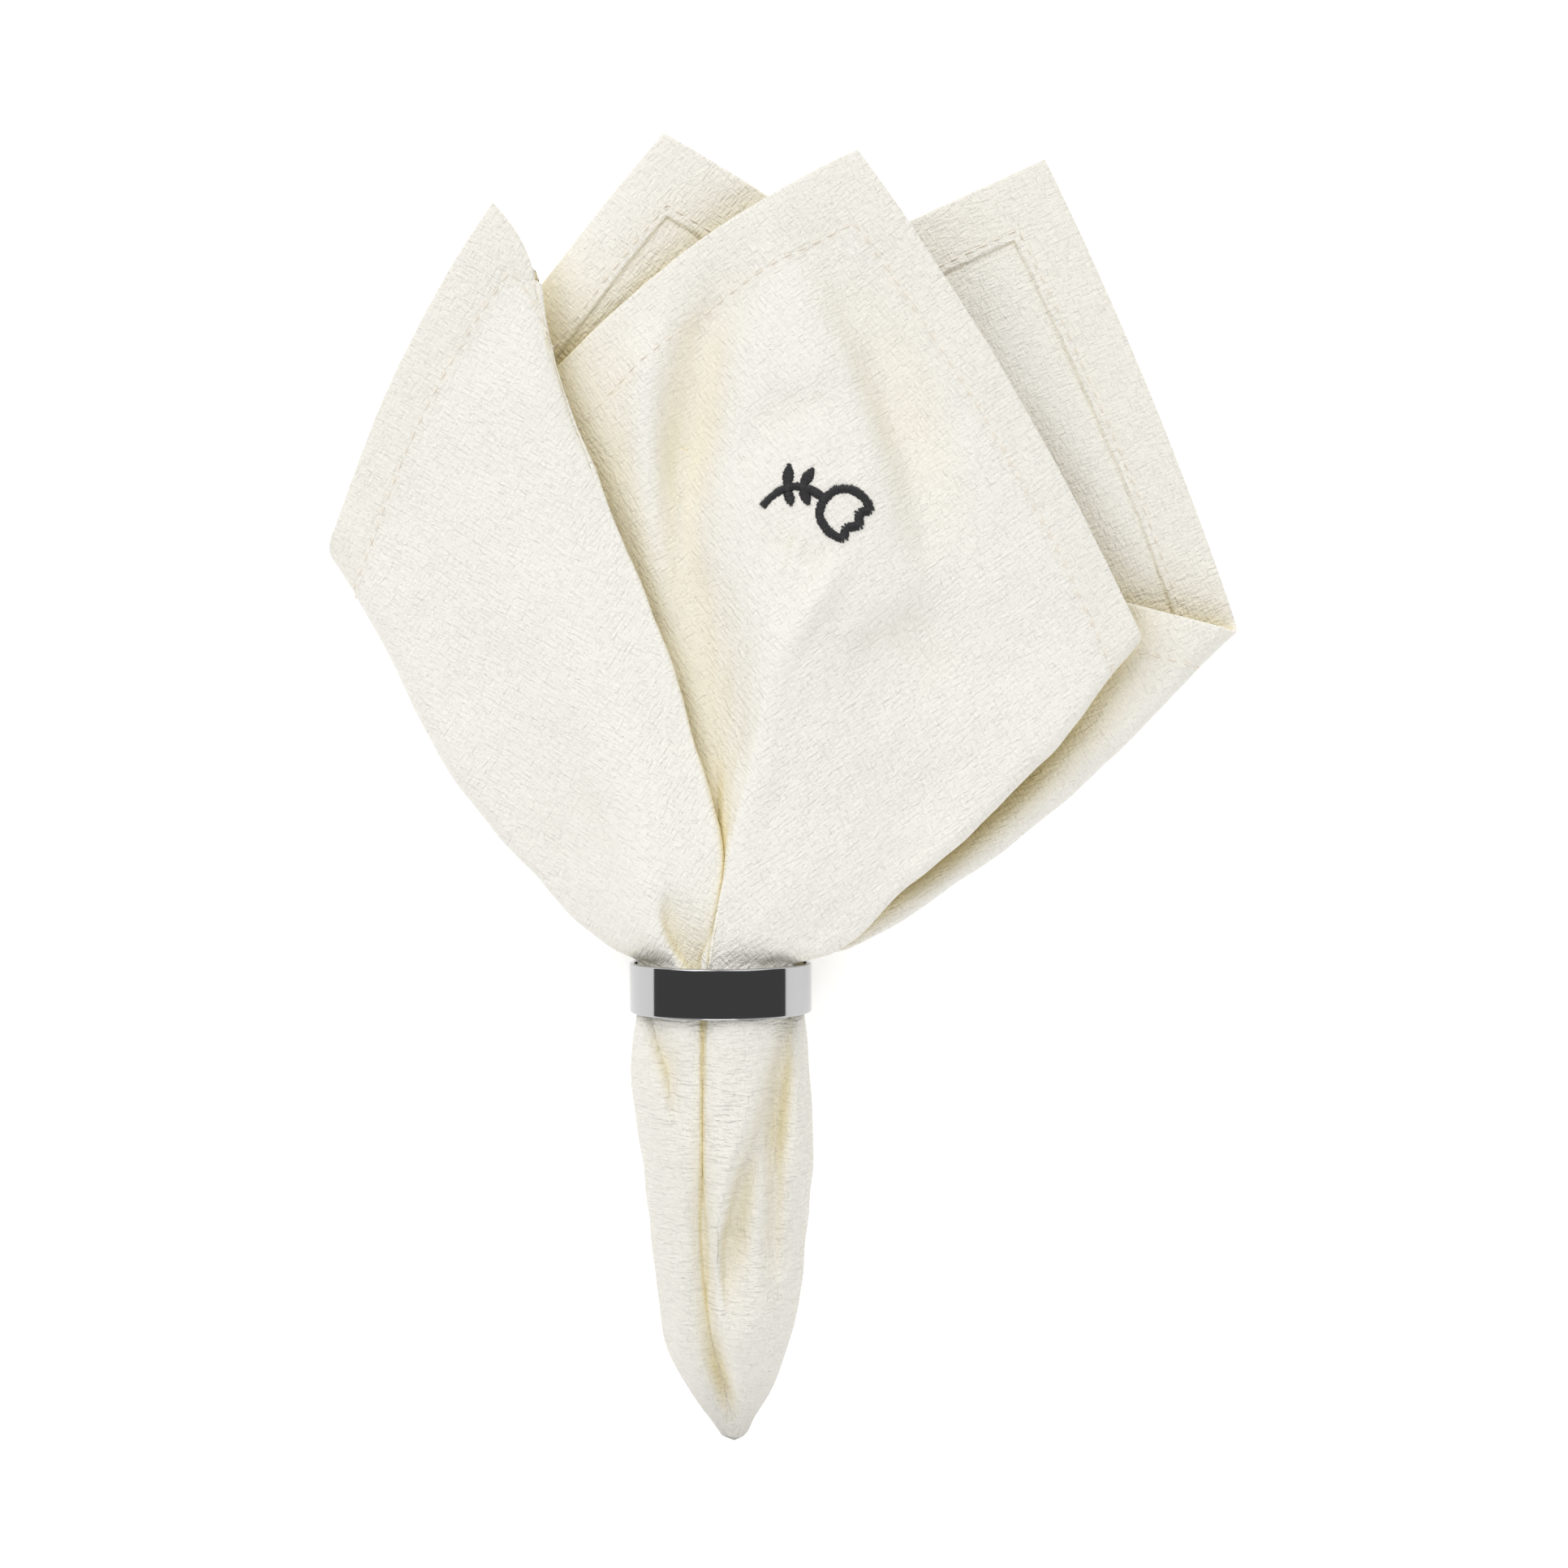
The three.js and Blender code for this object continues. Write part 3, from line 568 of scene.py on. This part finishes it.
def sheet_rows():
    """All rows of the sheet's middle, from just above the tip to the hem. reached is the distance from
    the napkin's middle when it is laid flat, edge the distance from the hem."""
    rows = []
    for i in range(1, TAIL_STEPS):
        y = lerp(-TAIL_LENGTH, -NECK, (i / TAIL_STEPS) ** TAIL_CROWDING)
        rows.append({"points": tail_row(y), "reached": y + TAIL_LENGTH, "edge": None})
    for y in RING_STOPS:
        rows.append({"points": ring_row(y), "reached": y + TAIL_LENGTH - NECK, "edge": None})
    for i in range(1, FAN_STEPS):
        place = (i / FAN_STEPS) ** FAN_CROWDING
        t = fan_share(place, None, COLUMNS["along"])
        reached = lerp(TAIL_LENGTH, reach(COLUMNS["along"]), t)
        rows.append({"points": fan_row(place, None), "reached": reached, "edge": None})
    for edge in HEM_EDGES:
        t = fan_share(None, edge, COLUMNS["along"])
        reached = lerp(TAIL_LENGTH, reach(COLUMNS["along"]), t)
        rows.append({"points": fan_row(None, edge), "reached": reached, "edge": edge})
    return rows


def sheet_normals(middle, tip):
    """Outward directions of the right side at every point of the sheet."""
    around = np.roll(middle, -1, axis=1) - np.roll(middle, 1, axis=1)
    below = np.concatenate([np.tile(tip, (1, middle.shape[1], 1)), middle[:-1]])
    above = np.concatenate([middle[1:], middle[-1:]])
    return unit(np.cross(around, above - below))


def swell_height(flat):
    """Slight unevenness of the cloth at places of the napkin laid flat."""
    height = np.zeros(flat.shape[:-1])
    for swell in SWELLS:
        angle = math.radians(swell["degrees"])
        way = flat[..., 0] * math.cos(angle) + flat[..., 1] * math.sin(angle)
        height += swell["height"] * np.sin(2 * math.pi * way / swell["length"] + swell["phase"])
    return height


def side_offsets(edge):
    """How far the right and the wrong side stand off the middle at a distance from the hem's edge."""
    right = CLOTH / 2
    wrong = -CLOTH / 2
    if edge is None:
        return right, wrong
    if edge < HEM_WIDTH - HEM_STEP:
        wrong -= HEM_EXTRA
    dimple = STITCH_DIMPLE * math.exp(-((edge - STITCH_EDGE) / DIMPLE_WIDTH) ** 2)
    right -= dimple
    wrong += dimple
    if edge < RIM_RADIUS:
        full = max(RIM_LEAST, math.sqrt(1 - (1 - edge / RIM_RADIUS) ** 2))
        centre = (right + wrong) / 2
        right = lerp(centre, right, full)
        wrong = lerp(centre, wrong, full)
    return right, wrong


def weave_places(middle):
    """Where every point lies in the weave: along the two hems of its own corner in the fan, round and
    down the tail. Each layer keeps its corner's weave, and changes to the next happen out of sight."""
    fan = np.empty(middle.shape[:2] + (2,))
    for k, layer in enumerate(LAYERS):
        c = list(GUIDES["name"]).index(layer["corner"])
        angle = math.atan2(GUIDES["y"][c], GUIDES["x"][c] - GUIDES["ringX"][c]) + math.pi / 4
        own = COLUMNS["k"] == k
        x, y = middle[:, own, 0], middle[:, own, 1]
        fan[:, own, 0] = x * math.cos(angle) + y * math.sin(angle)
        fan[:, own, 1] = y * math.cos(angle) - x * math.sin(angle)
    from_below = np.mod(COLUMNS["round"] + math.pi / 2, 2 * math.pi)
    tail = np.stack(np.broadcast_arrays(from_below * PACKED, middle[..., 1]), axis=-1)
    return np.where(middle[..., 1:2] < 0, tail, fan)


def build_sheet():
    """Points of the right and the wrong side, their places in the weave, and the tip."""
    rows = sheet_rows()
    tip = np.array([tail_value("x", -TAIL_LENGTH), -TAIL_LENGTH, tail_value("z", -TAIL_LENGTH)])
    middle = np.array([row["points"] for row in rows])
    reached = np.array([np.broadcast_to(row["reached"], COLUMNS["along"].shape) for row in rows])
    flat = on_square(COLUMNS["along"])[None] * (reached / reach(COLUMNS["along"]))[..., None]
    normals = sheet_normals(middle, tip)
    quiet = np.abs(middle[..., 1]) < NECK
    weave = weave_places(middle)
    swell = swell_height(np.where(middle[..., 1:2] < 0, weave, flat))
    swell = np.where(quiet, 0.0, swell * smooth(SWELL_LOW, SWELL_HIGH, middle[..., 2]))
    middle = middle + normals * swell[..., None]
    normals = sheet_normals(middle, tip)
    offsets = np.array([side_offsets(row["edge"]) for row in rows])
    right = middle + normals * offsets[:, 0, None, None]
    wrong = middle + normals * offsets[:, 1, None, None]
    edges = np.array([FAR_FROM_HEM if row["edge"] is None else row["edge"] for row in rows])
    return {"right": right, "wrong": wrong, "normals": normals, "weave": weave,
            "tip": tip, "edges": edges}


# The frame's own millimetres start at the ring's middle, on the surface
ring_low, ring_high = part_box("ring")
ORIGIN = (np.array(ring_low) + np.array(ring_high)) / 2 - np.array([0, 0, RING_Z / 1000])


def to_frame(points):
    return np.asarray(points) / 1000 + ORIGIN


def new_object(name, points, faces, material):
    """A smooth mesh object from points in millimetres."""
    places = [tuple(p) for p in to_frame(points)]
    corners = [tuple(int(i) for i in face) for face in faces]
    mesh = bpy.data.meshes.new(name)
    mesh.from_pydata(places, [], corners)
    mesh.materials.append(material)
    mesh.polygons.foreach_set("use_smooth", [True] * len(mesh.polygons))
    mesh.update()
    obj = bpy.data.objects.new(name, mesh)
    bpy.context.scene.collection.objects.link(obj)
    return obj


def plain_material(name, color, metallic, roughness):
    material = bpy.data.materials.new(name)
    material.use_nodes = True
    shader = material.node_tree.nodes["Principled BSDF"]
    shader.inputs["Base Color"].default_value = (*color, 1)
    shader.inputs["Metallic"].default_value = metallic
    shader.inputs["Roughness"].default_value = roughness
    return material


# The cotton's colours: where nothing is mixed, on the face, on the hem and tail, and the warm painted
# shade deep in the folds
COTTON_PLAIN = (0.76, 0.74, 0.68)
COTTON_FACE = (0.89, 0.866, 0.806)
COTTON_HEM = (0.88, 0.852, 0.785)
COTTON_PAINTED_SHADE = (0.81, 0.71, 0.41)

# How many wrinkles go into the napkin's side, across and along each wrinkle, and their height in metres.
# In the gathered tail the lengthwise ones are drawn flat, and the crosswise ones stand up more.
WRINKLES_ACROSS = 600
WRINKLES_ALONG = 150
WRINKLES_FINE = 1100
PUCKERS_ACROSS = 290
PUCKERS_ALONG = 70
FINE_SHARE = 0.3
LENGTHWISE_GAIN = -0.2
CROSSWISE_GAIN = 0.45
WRINKLE_HEIGHT = 0.0005

# Painted shade in the folds: how far in metres a fold looks for cloth over it, and the open share at
# which no painted shade is mixed in and at which it is full
PAINTED_SHADE_REACH = 0.021
PAINTED_SHADE_NONE = 0.91
PAINTED_SHADE_FULL = 0.36


def cloth_material():
    """Off-white crinkled cotton: fine wrinkles along the weave, a slightly creamier hem, and a warm
    painted shade mixed into the folds.
    """
    material = plain_material("crinkled_cotton", COTTON_PLAIN, 0, 0.9)
    nodes = material.node_tree.nodes
    links = material.node_tree.links
    shader = nodes["Principled BSDF"]
    shader.inputs["Specular IOR Level"].default_value = 0.15
    shader.inputs["Sheen Weight"].default_value = 0.08
    coordinates = nodes.new("ShaderNodeTexCoord")

    def wrinkles(scale_x, scale_y, detail, distortion):
        mapping = nodes.new("ShaderNodeMapping")
        mapping.inputs["Scale"].default_value = (scale_x, scale_y, 1)
        noise = nodes.new("ShaderNodeTexNoise")
        noise.noise_dimensions = "2D"
        noise.inputs["Scale"].default_value = 1.0
        noise.inputs["Detail"].default_value = detail
        noise.inputs["Distortion"].default_value = distortion
        links.new(coordinates.outputs["UV"], mapping.inputs["Vector"])
        links.new(mapping.outputs["Vector"], noise.inputs["Vector"])
        return noise.outputs["Fac"]

    def combine(operation, first, second):
        node = nodes.new("ShaderNodeMath")
        node.operation = operation
        for socket, value in zip(node.inputs, (first, second)):
            if isinstance(value, float):
                socket.default_value = value
            else:
                links.new(value, socket)
        return node.outputs["Value"]

    lengthwise = wrinkles(WRINKLES_ACROSS, WRINKLES_ALONG, 2.5, 0.3)
    crosswise = wrinkles(WRINKLES_ALONG, WRINKLES_ACROSS, 2.5, 0.3)
    fine = wrinkles(WRINKLES_FINE, WRINKLES_FINE, 1.0, 0.0)
    gathered = nodes.new("ShaderNodeAttribute")
    gathered.attribute_name = "gathered"
    in_tail = gathered.outputs["Fac"]
    slack = combine("ADD", combine("MULTIPLY", in_tail, LENGTHWISE_GAIN), 1.0)
    drawn = combine("ADD", combine("MULTIPLY", in_tail, CROSSWISE_GAIN), 1.0)
    lengthwise = combine("MULTIPLY", lengthwise, slack)
    crosswise = combine("MULTIPLY", crosswise, drawn)
    crinkle = combine("ADD", lengthwise, crosswise)
    crinkle = combine("ADD", crinkle, combine("MULTIPLY", fine, FINE_SHARE))
    puckers = combine("MULTIPLY", wrinkles(PUCKERS_ALONG, PUCKERS_ACROSS, 1.5, 0.4), in_tail)
    height = combine("ADD", crinkle, puckers)
    bump = nodes.new("ShaderNodeBump")
    bump.inputs["Strength"].default_value = 1.0
    bump.inputs["Distance"].default_value = WRINKLE_HEIGHT
    links.new(height, bump.inputs["Height"])
    links.new(bump.outputs["Normal"], shader.inputs["Normal"])

    hem = nodes.new("ShaderNodeAttribute")
    hem.attribute_name = "hem"
    tint = nodes.new("ShaderNodeMix")
    tint.data_type = "RGBA"
    tint.inputs["A"].default_value = (*COTTON_FACE, 1)
    tint.inputs["B"].default_value = (*COTTON_HEM, 1)
    links.new(combine("MAXIMUM", hem.outputs["Fac"], in_tail), tint.inputs["Factor"])

    # Painted shade: where other cloth lies close over it, the colour turns towards the darker warm
    # colour, standing in for shade and light bounced between the layers
    occlusion = nodes.new("ShaderNodeAmbientOcclusion")
    occlusion.samples = 4
    occlusion.only_local = True
    occlusion.inputs["Distance"].default_value = PAINTED_SHADE_REACH
    depth = nodes.new("ShaderNodeMapRange")
    depth.inputs["From Min"].default_value = PAINTED_SHADE_NONE
    depth.inputs["From Max"].default_value = PAINTED_SHADE_FULL
    painted_shade = nodes.new("ShaderNodeMix")
    painted_shade.data_type = "RGBA"
    painted_shade.inputs["B"].default_value = (*COTTON_PAINTED_SHADE, 1)
    links.new(occlusion.outputs["AO"], depth.inputs["Value"])
    links.new(depth.outputs["Result"], painted_shade.inputs["Factor"])
    links.new(tint.outputs["Result"], painted_shade.inputs["A"])
    links.new(painted_shade.outputs["Result"], shader.inputs["Base Color"])
    return material


def napkin_object(sheet, material):
    """The closed cloth: its right side, its wrong side and the thin rim that joins them at the hem."""
    rows, count = sheet["right"].shape[:2]
    half = rows * count + 1
    right_tip = sheet["tip"] + [0, -CLOTH / 2, 0]
    wrong_tip = sheet["tip"] + [0, CLOTH / 2, 0]
    points = np.concatenate([sheet["right"].reshape(-1, 3), [right_tip],
                             sheet["wrong"].reshape(-1, 3), [wrong_tip]])
    i = np.arange(count)
    n = (i + 1) % count
    quads = []
    caps = []
    for j in range(rows - 1):
        low = j * count
        high = low + count
        quads.append(np.column_stack([low + i, low + n, high + n, high + i]))
        quads.append(half + np.column_stack([low + n, low + i, high + i, high + n]))
    last = (rows - 1) * count
    quads.append(np.column_stack([last + i, last + n, half + last + n, half + last + i]))
    for start, order in ((0, (n, i)), (half, (i, n))):
        pole = np.full(count, start + rows * count)
        caps.append(np.column_stack([pole, start + order[0], start + order[1]]))
    faces = [tuple(face) for face in np.concatenate(quads)]
    faces += [tuple(face) for face in np.concatenate(caps)]
    obj = new_object("napkin_cloth", points, faces, material)

    weave = np.concatenate([sheet["weave"].reshape(-1, 2), [[0, -TAIL_LENGTH]]])
    layer = obj.data.uv_layers.new(name="weave")
    corner = np.empty(len(obj.data.loops), dtype=np.int32)
    obj.data.loops.foreach_get("vertex_index", corner)
    layer.data.foreach_set("uv", (np.tile(weave, (2, 1))[corner] / NAPKIN_SIDE + 0.5).ravel())

    hem_of = np.append(np.repeat(smooth(HEM_WIDTH + 0.1, HEM_WIDTH - 0.3, sheet["edges"]), count), 0)
    hem = obj.data.attributes.new("hem", "FLOAT", "POINT")
    hem.data.foreach_set("value", np.concatenate([hem_of, hem_of]))
    gathered = obj.data.attributes.new("gathered", "FLOAT", "POINT")
    gathered.data.foreach_set("value", smooth(0, GATHERED, points[:, 1]))
    return obj


def tube(path, normal, radius, sides=6):
    """Points and faces of a short thread along a path, closed at both ends."""
    path = np.asarray(path, dtype=float)
    along = unit(np.gradient(path, axis=0))
    across = unit(np.cross(along, normal))
    up = np.cross(across, along)
    angle = np.arange(sides) * 2 * math.pi / sides
    size = np.broadcast_to(radius, (len(path),))[:, None, None]
    circle = np.cos(angle)[None, :, None] * across[:, None] + np.sin(angle)[None, :, None] * up[:, None]
    points = (path[:, None] + size * circle).reshape(-1, 3)
    faces = []
    for j in range(len(path) - 1):
        for a in range(sides):
            b = (a + 1) % sides
            faces.append((j * sides + a, j * sides + b, (j + 1) * sides + b, (j + 1) * sides + a))
    faces.append(tuple(range(sides))[::-1])
    faces.append(tuple(range((len(path) - 1) * sides, len(path) * sides)))
    return points, faces


def join(parts):
    points, faces, start = [], [], 0
    for own_points, own_faces in parts:
        points.append(own_points)
        faces.extend(tuple(i + start for i in face) for face in own_faces)
        start += len(own_points)
    return np.concatenate(points), faces


# Hem stitches: spacing, length and thickness, how far they arch and sink, and how thin their ends are
STITCH_PITCH = 4.0
STITCH_LENGTH = 2.7
STITCH_RADIUS = 0.2
STITCH_POINTS = 6
STITCH_ARCH = 0.45
STITCH_SINK = 0.18
STITCH_FULLNESS = 0.6
STITCH_END = 0.55


def hem_stitches(sheet):
    """A line of stitches near the inner edge of the hem, on both sides of the cloth."""
    row = int(np.argmin(np.abs(sheet["edges"] - STITCH_EDGE)))
    parts = []
    for side, sign in (("right", 1), ("wrong", -1)):
        line = np.concatenate([sheet[side][row], sheet[side][row][:1]])
        normals = np.concatenate([sheet["normals"][row], sheet["normals"][row][:1]]) * sign
        place = np.concatenate([[0], np.cumsum(np.linalg.norm(np.diff(line, axis=0), axis=1))])

        def at(s, values):
            return np.column_stack([np.interp(s, place, values[:, axis]) for axis in range(3)])

        for start in np.arange(0, place[-1] - STITCH_LENGTH, STITCH_PITCH):
            share = np.linspace(0, 1, STITCH_POINTS)
            s = start + share * STITCH_LENGTH
            up = unit(at(s, normals))
            arch = np.sin(math.pi * share)
            rise = (STITCH_ARCH * arch ** STITCH_FULLNESS - STITCH_SINK)[:, None] * up
            thick = STITCH_RADIUS * lerp(STITCH_END, 1, arch)
            parts.append(tube(at(s, line) + rise, up, thick))
    return join(parts)


# The embroidered sprig, in millimetres about its own place: an ordinary tulip with two pairs of leaves
SPRIG = (23.4, 118.0)
STROKE = 0.95
STEM = [(-13.2, -1.2), (-6.4, 7.4), (1.6, 0.8)]
STEM_END = 0.75
LEAF_COLUMNS = ["share", "degrees", "length", "width"]
LEAF_ROWS = [
    [0.42, 84, 5.6, 1.2],
    [0.42, -76, 4.4, 1.15],
    [0.66, 58, 5.2, 1.2],
    [0.66, -68, 4.6, 1.15],
]
LEAVES = as_dicts(LEAF_COLUMNS, LEAF_ROWS)
LEAF_START = 0.12
LEAF_LEAST = 0.28
LEAF_LEAN = 1.2
LEAF_FULLNESS = 0.7
BLOOM_BASE = (1.8, 0.6)
BLOOM_DEGREES = -38
BLOOM = [(0, 0), (1.0, 3.6), (4.2, 6.0), (8.2, 6.0), (10.6, 4.6), (8.6, 2.6), (10.8, 0.2),
         (8.4, -2.4), (9.8, -4.8), (6.8, -5.6), (3.2, -4.9), (0.9, -3.0), (0, 0)]
BLOOM_SHARP = [4, 5, 6, 7, 8]

# Its satin stitches: thickness and spacing of the thread, how far it arches and sinks, how uneven it is
THREAD_RADIUS = 0.24
THREAD_PITCH = 0.4
SATIN_POINTS = 7
SATIN_ARCH = 0.52
SATIN_SINK = 0.05
SATIN_LEAN = 0.06
SATIN_SHORT = 0.1
SATIN_LONG = 0.16
SATIN_SEED = 7


def curve_through(points, sharp=(), steps=14):
    """A smooth line through points, with corners at the sharp ones."""
    points = np.array(points, dtype=float)
    slopes = np.gradient(points, axis=0)
    line = [points[:1]]
    t = np.linspace(0, 1, steps + 1)[1:, None]
    for k in range(len(points) - 1):
        chord = points[k + 1] - points[k]
        m0 = chord if k in sharp else slopes[k]
        m1 = chord if k + 1 in sharp else slopes[k + 1]
        line.append(hermite(points[k], points[k + 1], m0, m1, t))
    return np.concatenate(line)


def resample(line, pitch):
    place = np.concatenate([[0], np.cumsum(np.linalg.norm(np.diff(line, axis=0), axis=1))])
    s = np.linspace(0, place[-1], max(3, int(round(place[-1] / pitch)) + 1))
    return np.column_stack([np.interp(s, place, line[:, axis]) for axis in range(2)])


def sprig_strokes():
    """Every stroke of the sprig as a middle line and the half width along it."""
    a, b, c = (np.array(p) for p in STEM)

    def on_stem(t):
        return (1 - t) ** 2 * a + 2 * t * (1 - t) * b + t * t * c

    stem = resample(np.array([on_stem(t) for t in np.linspace(0, 1, 40)]), THREAD_PITCH)
    strokes = [(stem, STROKE * np.linspace(STEM_END, 1, len(stem)))]
    for row in LEAVES:
        angle = math.radians(row["degrees"])
        root = on_stem(row["share"])
        end = root + row["length"] * np.array([math.cos(angle), math.sin(angle)])
        leaf = resample(np.array([root, end]), THREAD_PITCH)
        t = np.linspace(LEAF_START, 1, len(leaf))
        swell = np.sin(math.pi * t ** LEAF_LEAN) ** LEAF_FULLNESS
        strokes.append((leaf, row["width"] * np.maximum(LEAF_LEAST, swell)))
    turn = math.radians(BLOOM_DEGREES)
    spin = np.array([[math.cos(turn), -math.sin(turn)], [math.sin(turn), math.cos(turn)]])
    outline = curve_through(BLOOM, BLOOM_SHARP) @ spin.T + np.array(BLOOM_BASE)
    bloom = resample(outline, THREAD_PITCH)
    strokes.append((bloom, np.full(len(bloom), STROKE)))
    return strokes


def embroidery(sheet):
    """Satin stitches laid side by side across every stroke, following the cloth under them."""
    rows, count = sheet["right"].shape[:2]
    i = np.arange(count)
    n = (i + 1) % count
    start = rows // 2
    quads = np.concatenate([j * count + np.column_stack([i, n, n + count, i + count])
                            for j in range(rows - 1 - start)])
    tree = BVHTree.FromPolygons(sheet["right"][start:].reshape(-1, 3).tolist(), quads.tolist())
    eye = Vector(EYE)
    jitter = np.random.default_rng(SATIN_SEED)

    def on_cloth(x, y, height):
        seen = Vector((SPRIG[0] + x, SPRIG[1] + y, RING_Z))
        place, normal, _, _ = tree.ray_cast(eye, (seen - eye).normalized())
        normal = normal if normal.z > 0 else -normal
        return np.array(place + normal * height), np.array(normal)

    parts = []
    share = np.linspace(-1, 1, SATIN_POINTS)
    heights = SATIN_ARCH * np.sqrt(np.maximum(0, 1 - share ** 2)) - SATIN_SINK
    for line, half in sprig_strokes():
        way = unit(np.gradient(line, axis=0))
        across = np.column_stack([-way[:, 1], way[:, 0]])
        for centre, side, width in zip(line, across, half):
            middle = centre + jitter.uniform(-SATIN_LEAN, SATIN_LEAN, 2)
            reach_out = width + jitter.uniform(-SATIN_SHORT, SATIN_LONG)
            placed = [on_cloth(*(middle + side * s * reach_out), h) for s, h in zip(share, heights)]
            path = np.array([p for p, _ in placed])
            normal = np.array([m for _, m in placed])
            parts.append(tube(path, normal, THREAD_RADIUS, 5))
    return join(parts)


# The ring's mesh: steps round it, round each edge and across its faces
RING_TURNS = 256
EDGE_STEPS = 6
FACE_POINTS = 9
FACE_INSET = 0.1


def ring_surface():
    """The band with softly rounded edges, turned about its axis."""
    half = RING_WIDTH / 2
    r = RING_ROUNDING
    corners = [(RING_OUTER - r, half - r, 0), (RING_INNER + r, half - r, 90),
               (RING_INNER + r, -half + r, 180), (RING_OUTER - r, -half + r, 270)]
    profile = []
    for x, y, begin in corners:
        for step in range(EDGE_STEPS + 1):
            angle = math.radians(begin + 90 * step / EDGE_STEPS)
            profile.append((x + r * math.cos(angle), y + r * math.sin(angle)))
        if begin in (90, 270):
            side = profile[-1][0]
            ends = (half - r - FACE_INSET) * (1 if begin == 90 else -1)
            profile.extend((side, y) for y in np.linspace(ends, -ends, FACE_POINTS))
    profile = np.array(profile)
    angle = np.arange(RING_TURNS) * 2 * math.pi / RING_TURNS
    x = profile[None, :, 0] * np.sin(angle)[:, None]
    z = profile[None, :, 0] * np.cos(angle)[:, None]
    y = np.broadcast_to(profile[None, :, 1], x.shape)
    points = np.stack([x, y, z + RING_Z], axis=-1).reshape(-1, 3)
    count = len(profile)
    i = np.arange(count)
    n = (i + 1) % count
    faces = []
    for j in range(RING_TURNS):
        low = j * count
        high = (j + 1) % RING_TURNS * count
        faces.extend(np.column_stack([low + i, high + i, high + n, low + n]))
    return points, faces


# Colours of the threads and the metal
THREAD_CREAM = (0.88, 0.81, 0.71)
THREAD_BLACK = (0.018, 0.018, 0.02)
METAL_GREY = (0.42, 0.42, 0.425)

# The pieces
sheet = build_sheet()
cloth = cloth_material()
napkin = napkin_object(sheet, cloth)
thread = plain_material("hem_thread", THREAD_CREAM, 0, 0.7)
stitches = new_object("hem_stitches", *hem_stitches(sheet), thread)
black_thread = plain_material("black_thread", THREAD_BLACK, 0, 0.5)
sprig = new_object("embroidered_sprig", *embroidery(sheet), black_thread)
polished = plain_material("polished_metal", METAL_GREY, 1, 0.08)
ring = new_object("napkin_ring", *ring_surface(), polished)

for obj in (napkin, stitches, sprig, ring):
    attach(obj, "root")
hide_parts("napkin")
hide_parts("ring")

# Plain white surface under it, in metres, with a slight glow of its own so that it stays white
SURFACE_HALF = 3
SURFACE_WHITE = (0.97, 0.97, 0.97)
SURFACE_GLOW = 0.33
floor_material = plain_material("white_surface", SURFACE_WHITE, 0, 0.9)
floor_shader = floor_material.node_tree.nodes["Principled BSDF"]
floor_shader.inputs["Emission Color"].default_value = (1, 1, 1, 1)
floor_shader.inputs["Emission Strength"].default_value = SURFACE_GLOW
floor_mesh = bpy.data.meshes.new("floor")
floor_signs = [(-1, -1), (1, -1), (1, 1), (-1, 1)]
floor_corners = [(x * SURFACE_HALF, y * SURFACE_HALF, 0) for x, y in floor_signs]
floor_mesh.from_pydata(floor_corners, [], [(0, 1, 2, 3)])
floor_mesh.materials.append(floor_material)
floor = bpy.data.objects.new("floor", floor_mesh)
bpy.context.scene.collection.objects.link(floor)

# Soft studio light from the two ends, dark overhead, as the ring's black face shows. The band is where
# it changes over, as the share of Y in the direction looked in.
WORLD_LOW = 0.1
WORLD_HIGH = 0.62
BAND_START = 0.16
BAND_END = 0.34
world = bpy.data.worlds.new("studio")
bpy.context.scene.world = world
world.use_nodes = True
world_nodes = world.node_tree.nodes
world_links = world.node_tree.links
direction = world_nodes.new("ShaderNodeTexCoord")
split = world_nodes.new("ShaderNodeSeparateXYZ")
absolute = world_nodes.new("ShaderNodeMath")
absolute.operation = "ABSOLUTE"
band = world_nodes.new("ShaderNodeMapRange")
band.interpolation_type = "SMOOTHSTEP"
band.inputs["From Min"].default_value = BAND_START
band.inputs["From Max"].default_value = BAND_END
band.inputs["To Min"].default_value = WORLD_LOW
band.inputs["To Max"].default_value = WORLD_HIGH
world_links.new(direction.outputs["Generated"], split.inputs["Vector"])
world_links.new(split.outputs["Y"], absolute.inputs[0])
world_links.new(absolute.outputs["Value"], band.inputs["Value"])
world_links.new(band.outputs["Result"], world_nodes["Background"].inputs["Strength"])
world_nodes["Background"].inputs["Color"].default_value = (1, 1, 1, 1)


# Large lamps, in metres and watts
LIGHT_COLUMNS = ["name", "place", "size", "power"]
LIGHT_ROWS = [
    ["left", (-1.6, 1.9, 2.2), 2.6, 56],
    ["right", (1.6, 1.9, 2.2), 3.0, 36],
    ["foot", (0.0, -2.4, 2.0), 2.0, 29],
]


def area_light(name, place, size, power):
    """A square lamp that faces the napkin."""
    data = bpy.data.lights.new(name, "AREA")
    data.size = size
    data.energy = power
    light = bpy.data.objects.new(name, data)
    light.location = place
    light.rotation_euler = (-Vector(place)).to_track_quat("-Z", "Y").to_euler()
    bpy.context.scene.collection.objects.link(light)


for row in as_dicts(LIGHT_COLUMNS, LIGHT_ROWS):
    area_light(**row)

# The camera, straight above, the fan towards the top of the picture
SENSOR = 36
camera_data = bpy.data.cameras.new("camera")
camera_data.sensor_width = SENSOR
camera_data.sensor_fit = "HORIZONTAL"
camera_data.lens = SENSOR * (EYE[2] - RING_Z) / SEEN_WIDTH
camera = bpy.data.objects.new("camera", camera_data)
camera.location = to_frame(EYE)
bpy.context.scene.collection.objects.link(camera)
bpy.context.scene.camera = camera
bpy.context.scene.view_settings.view_transform = "Standard"
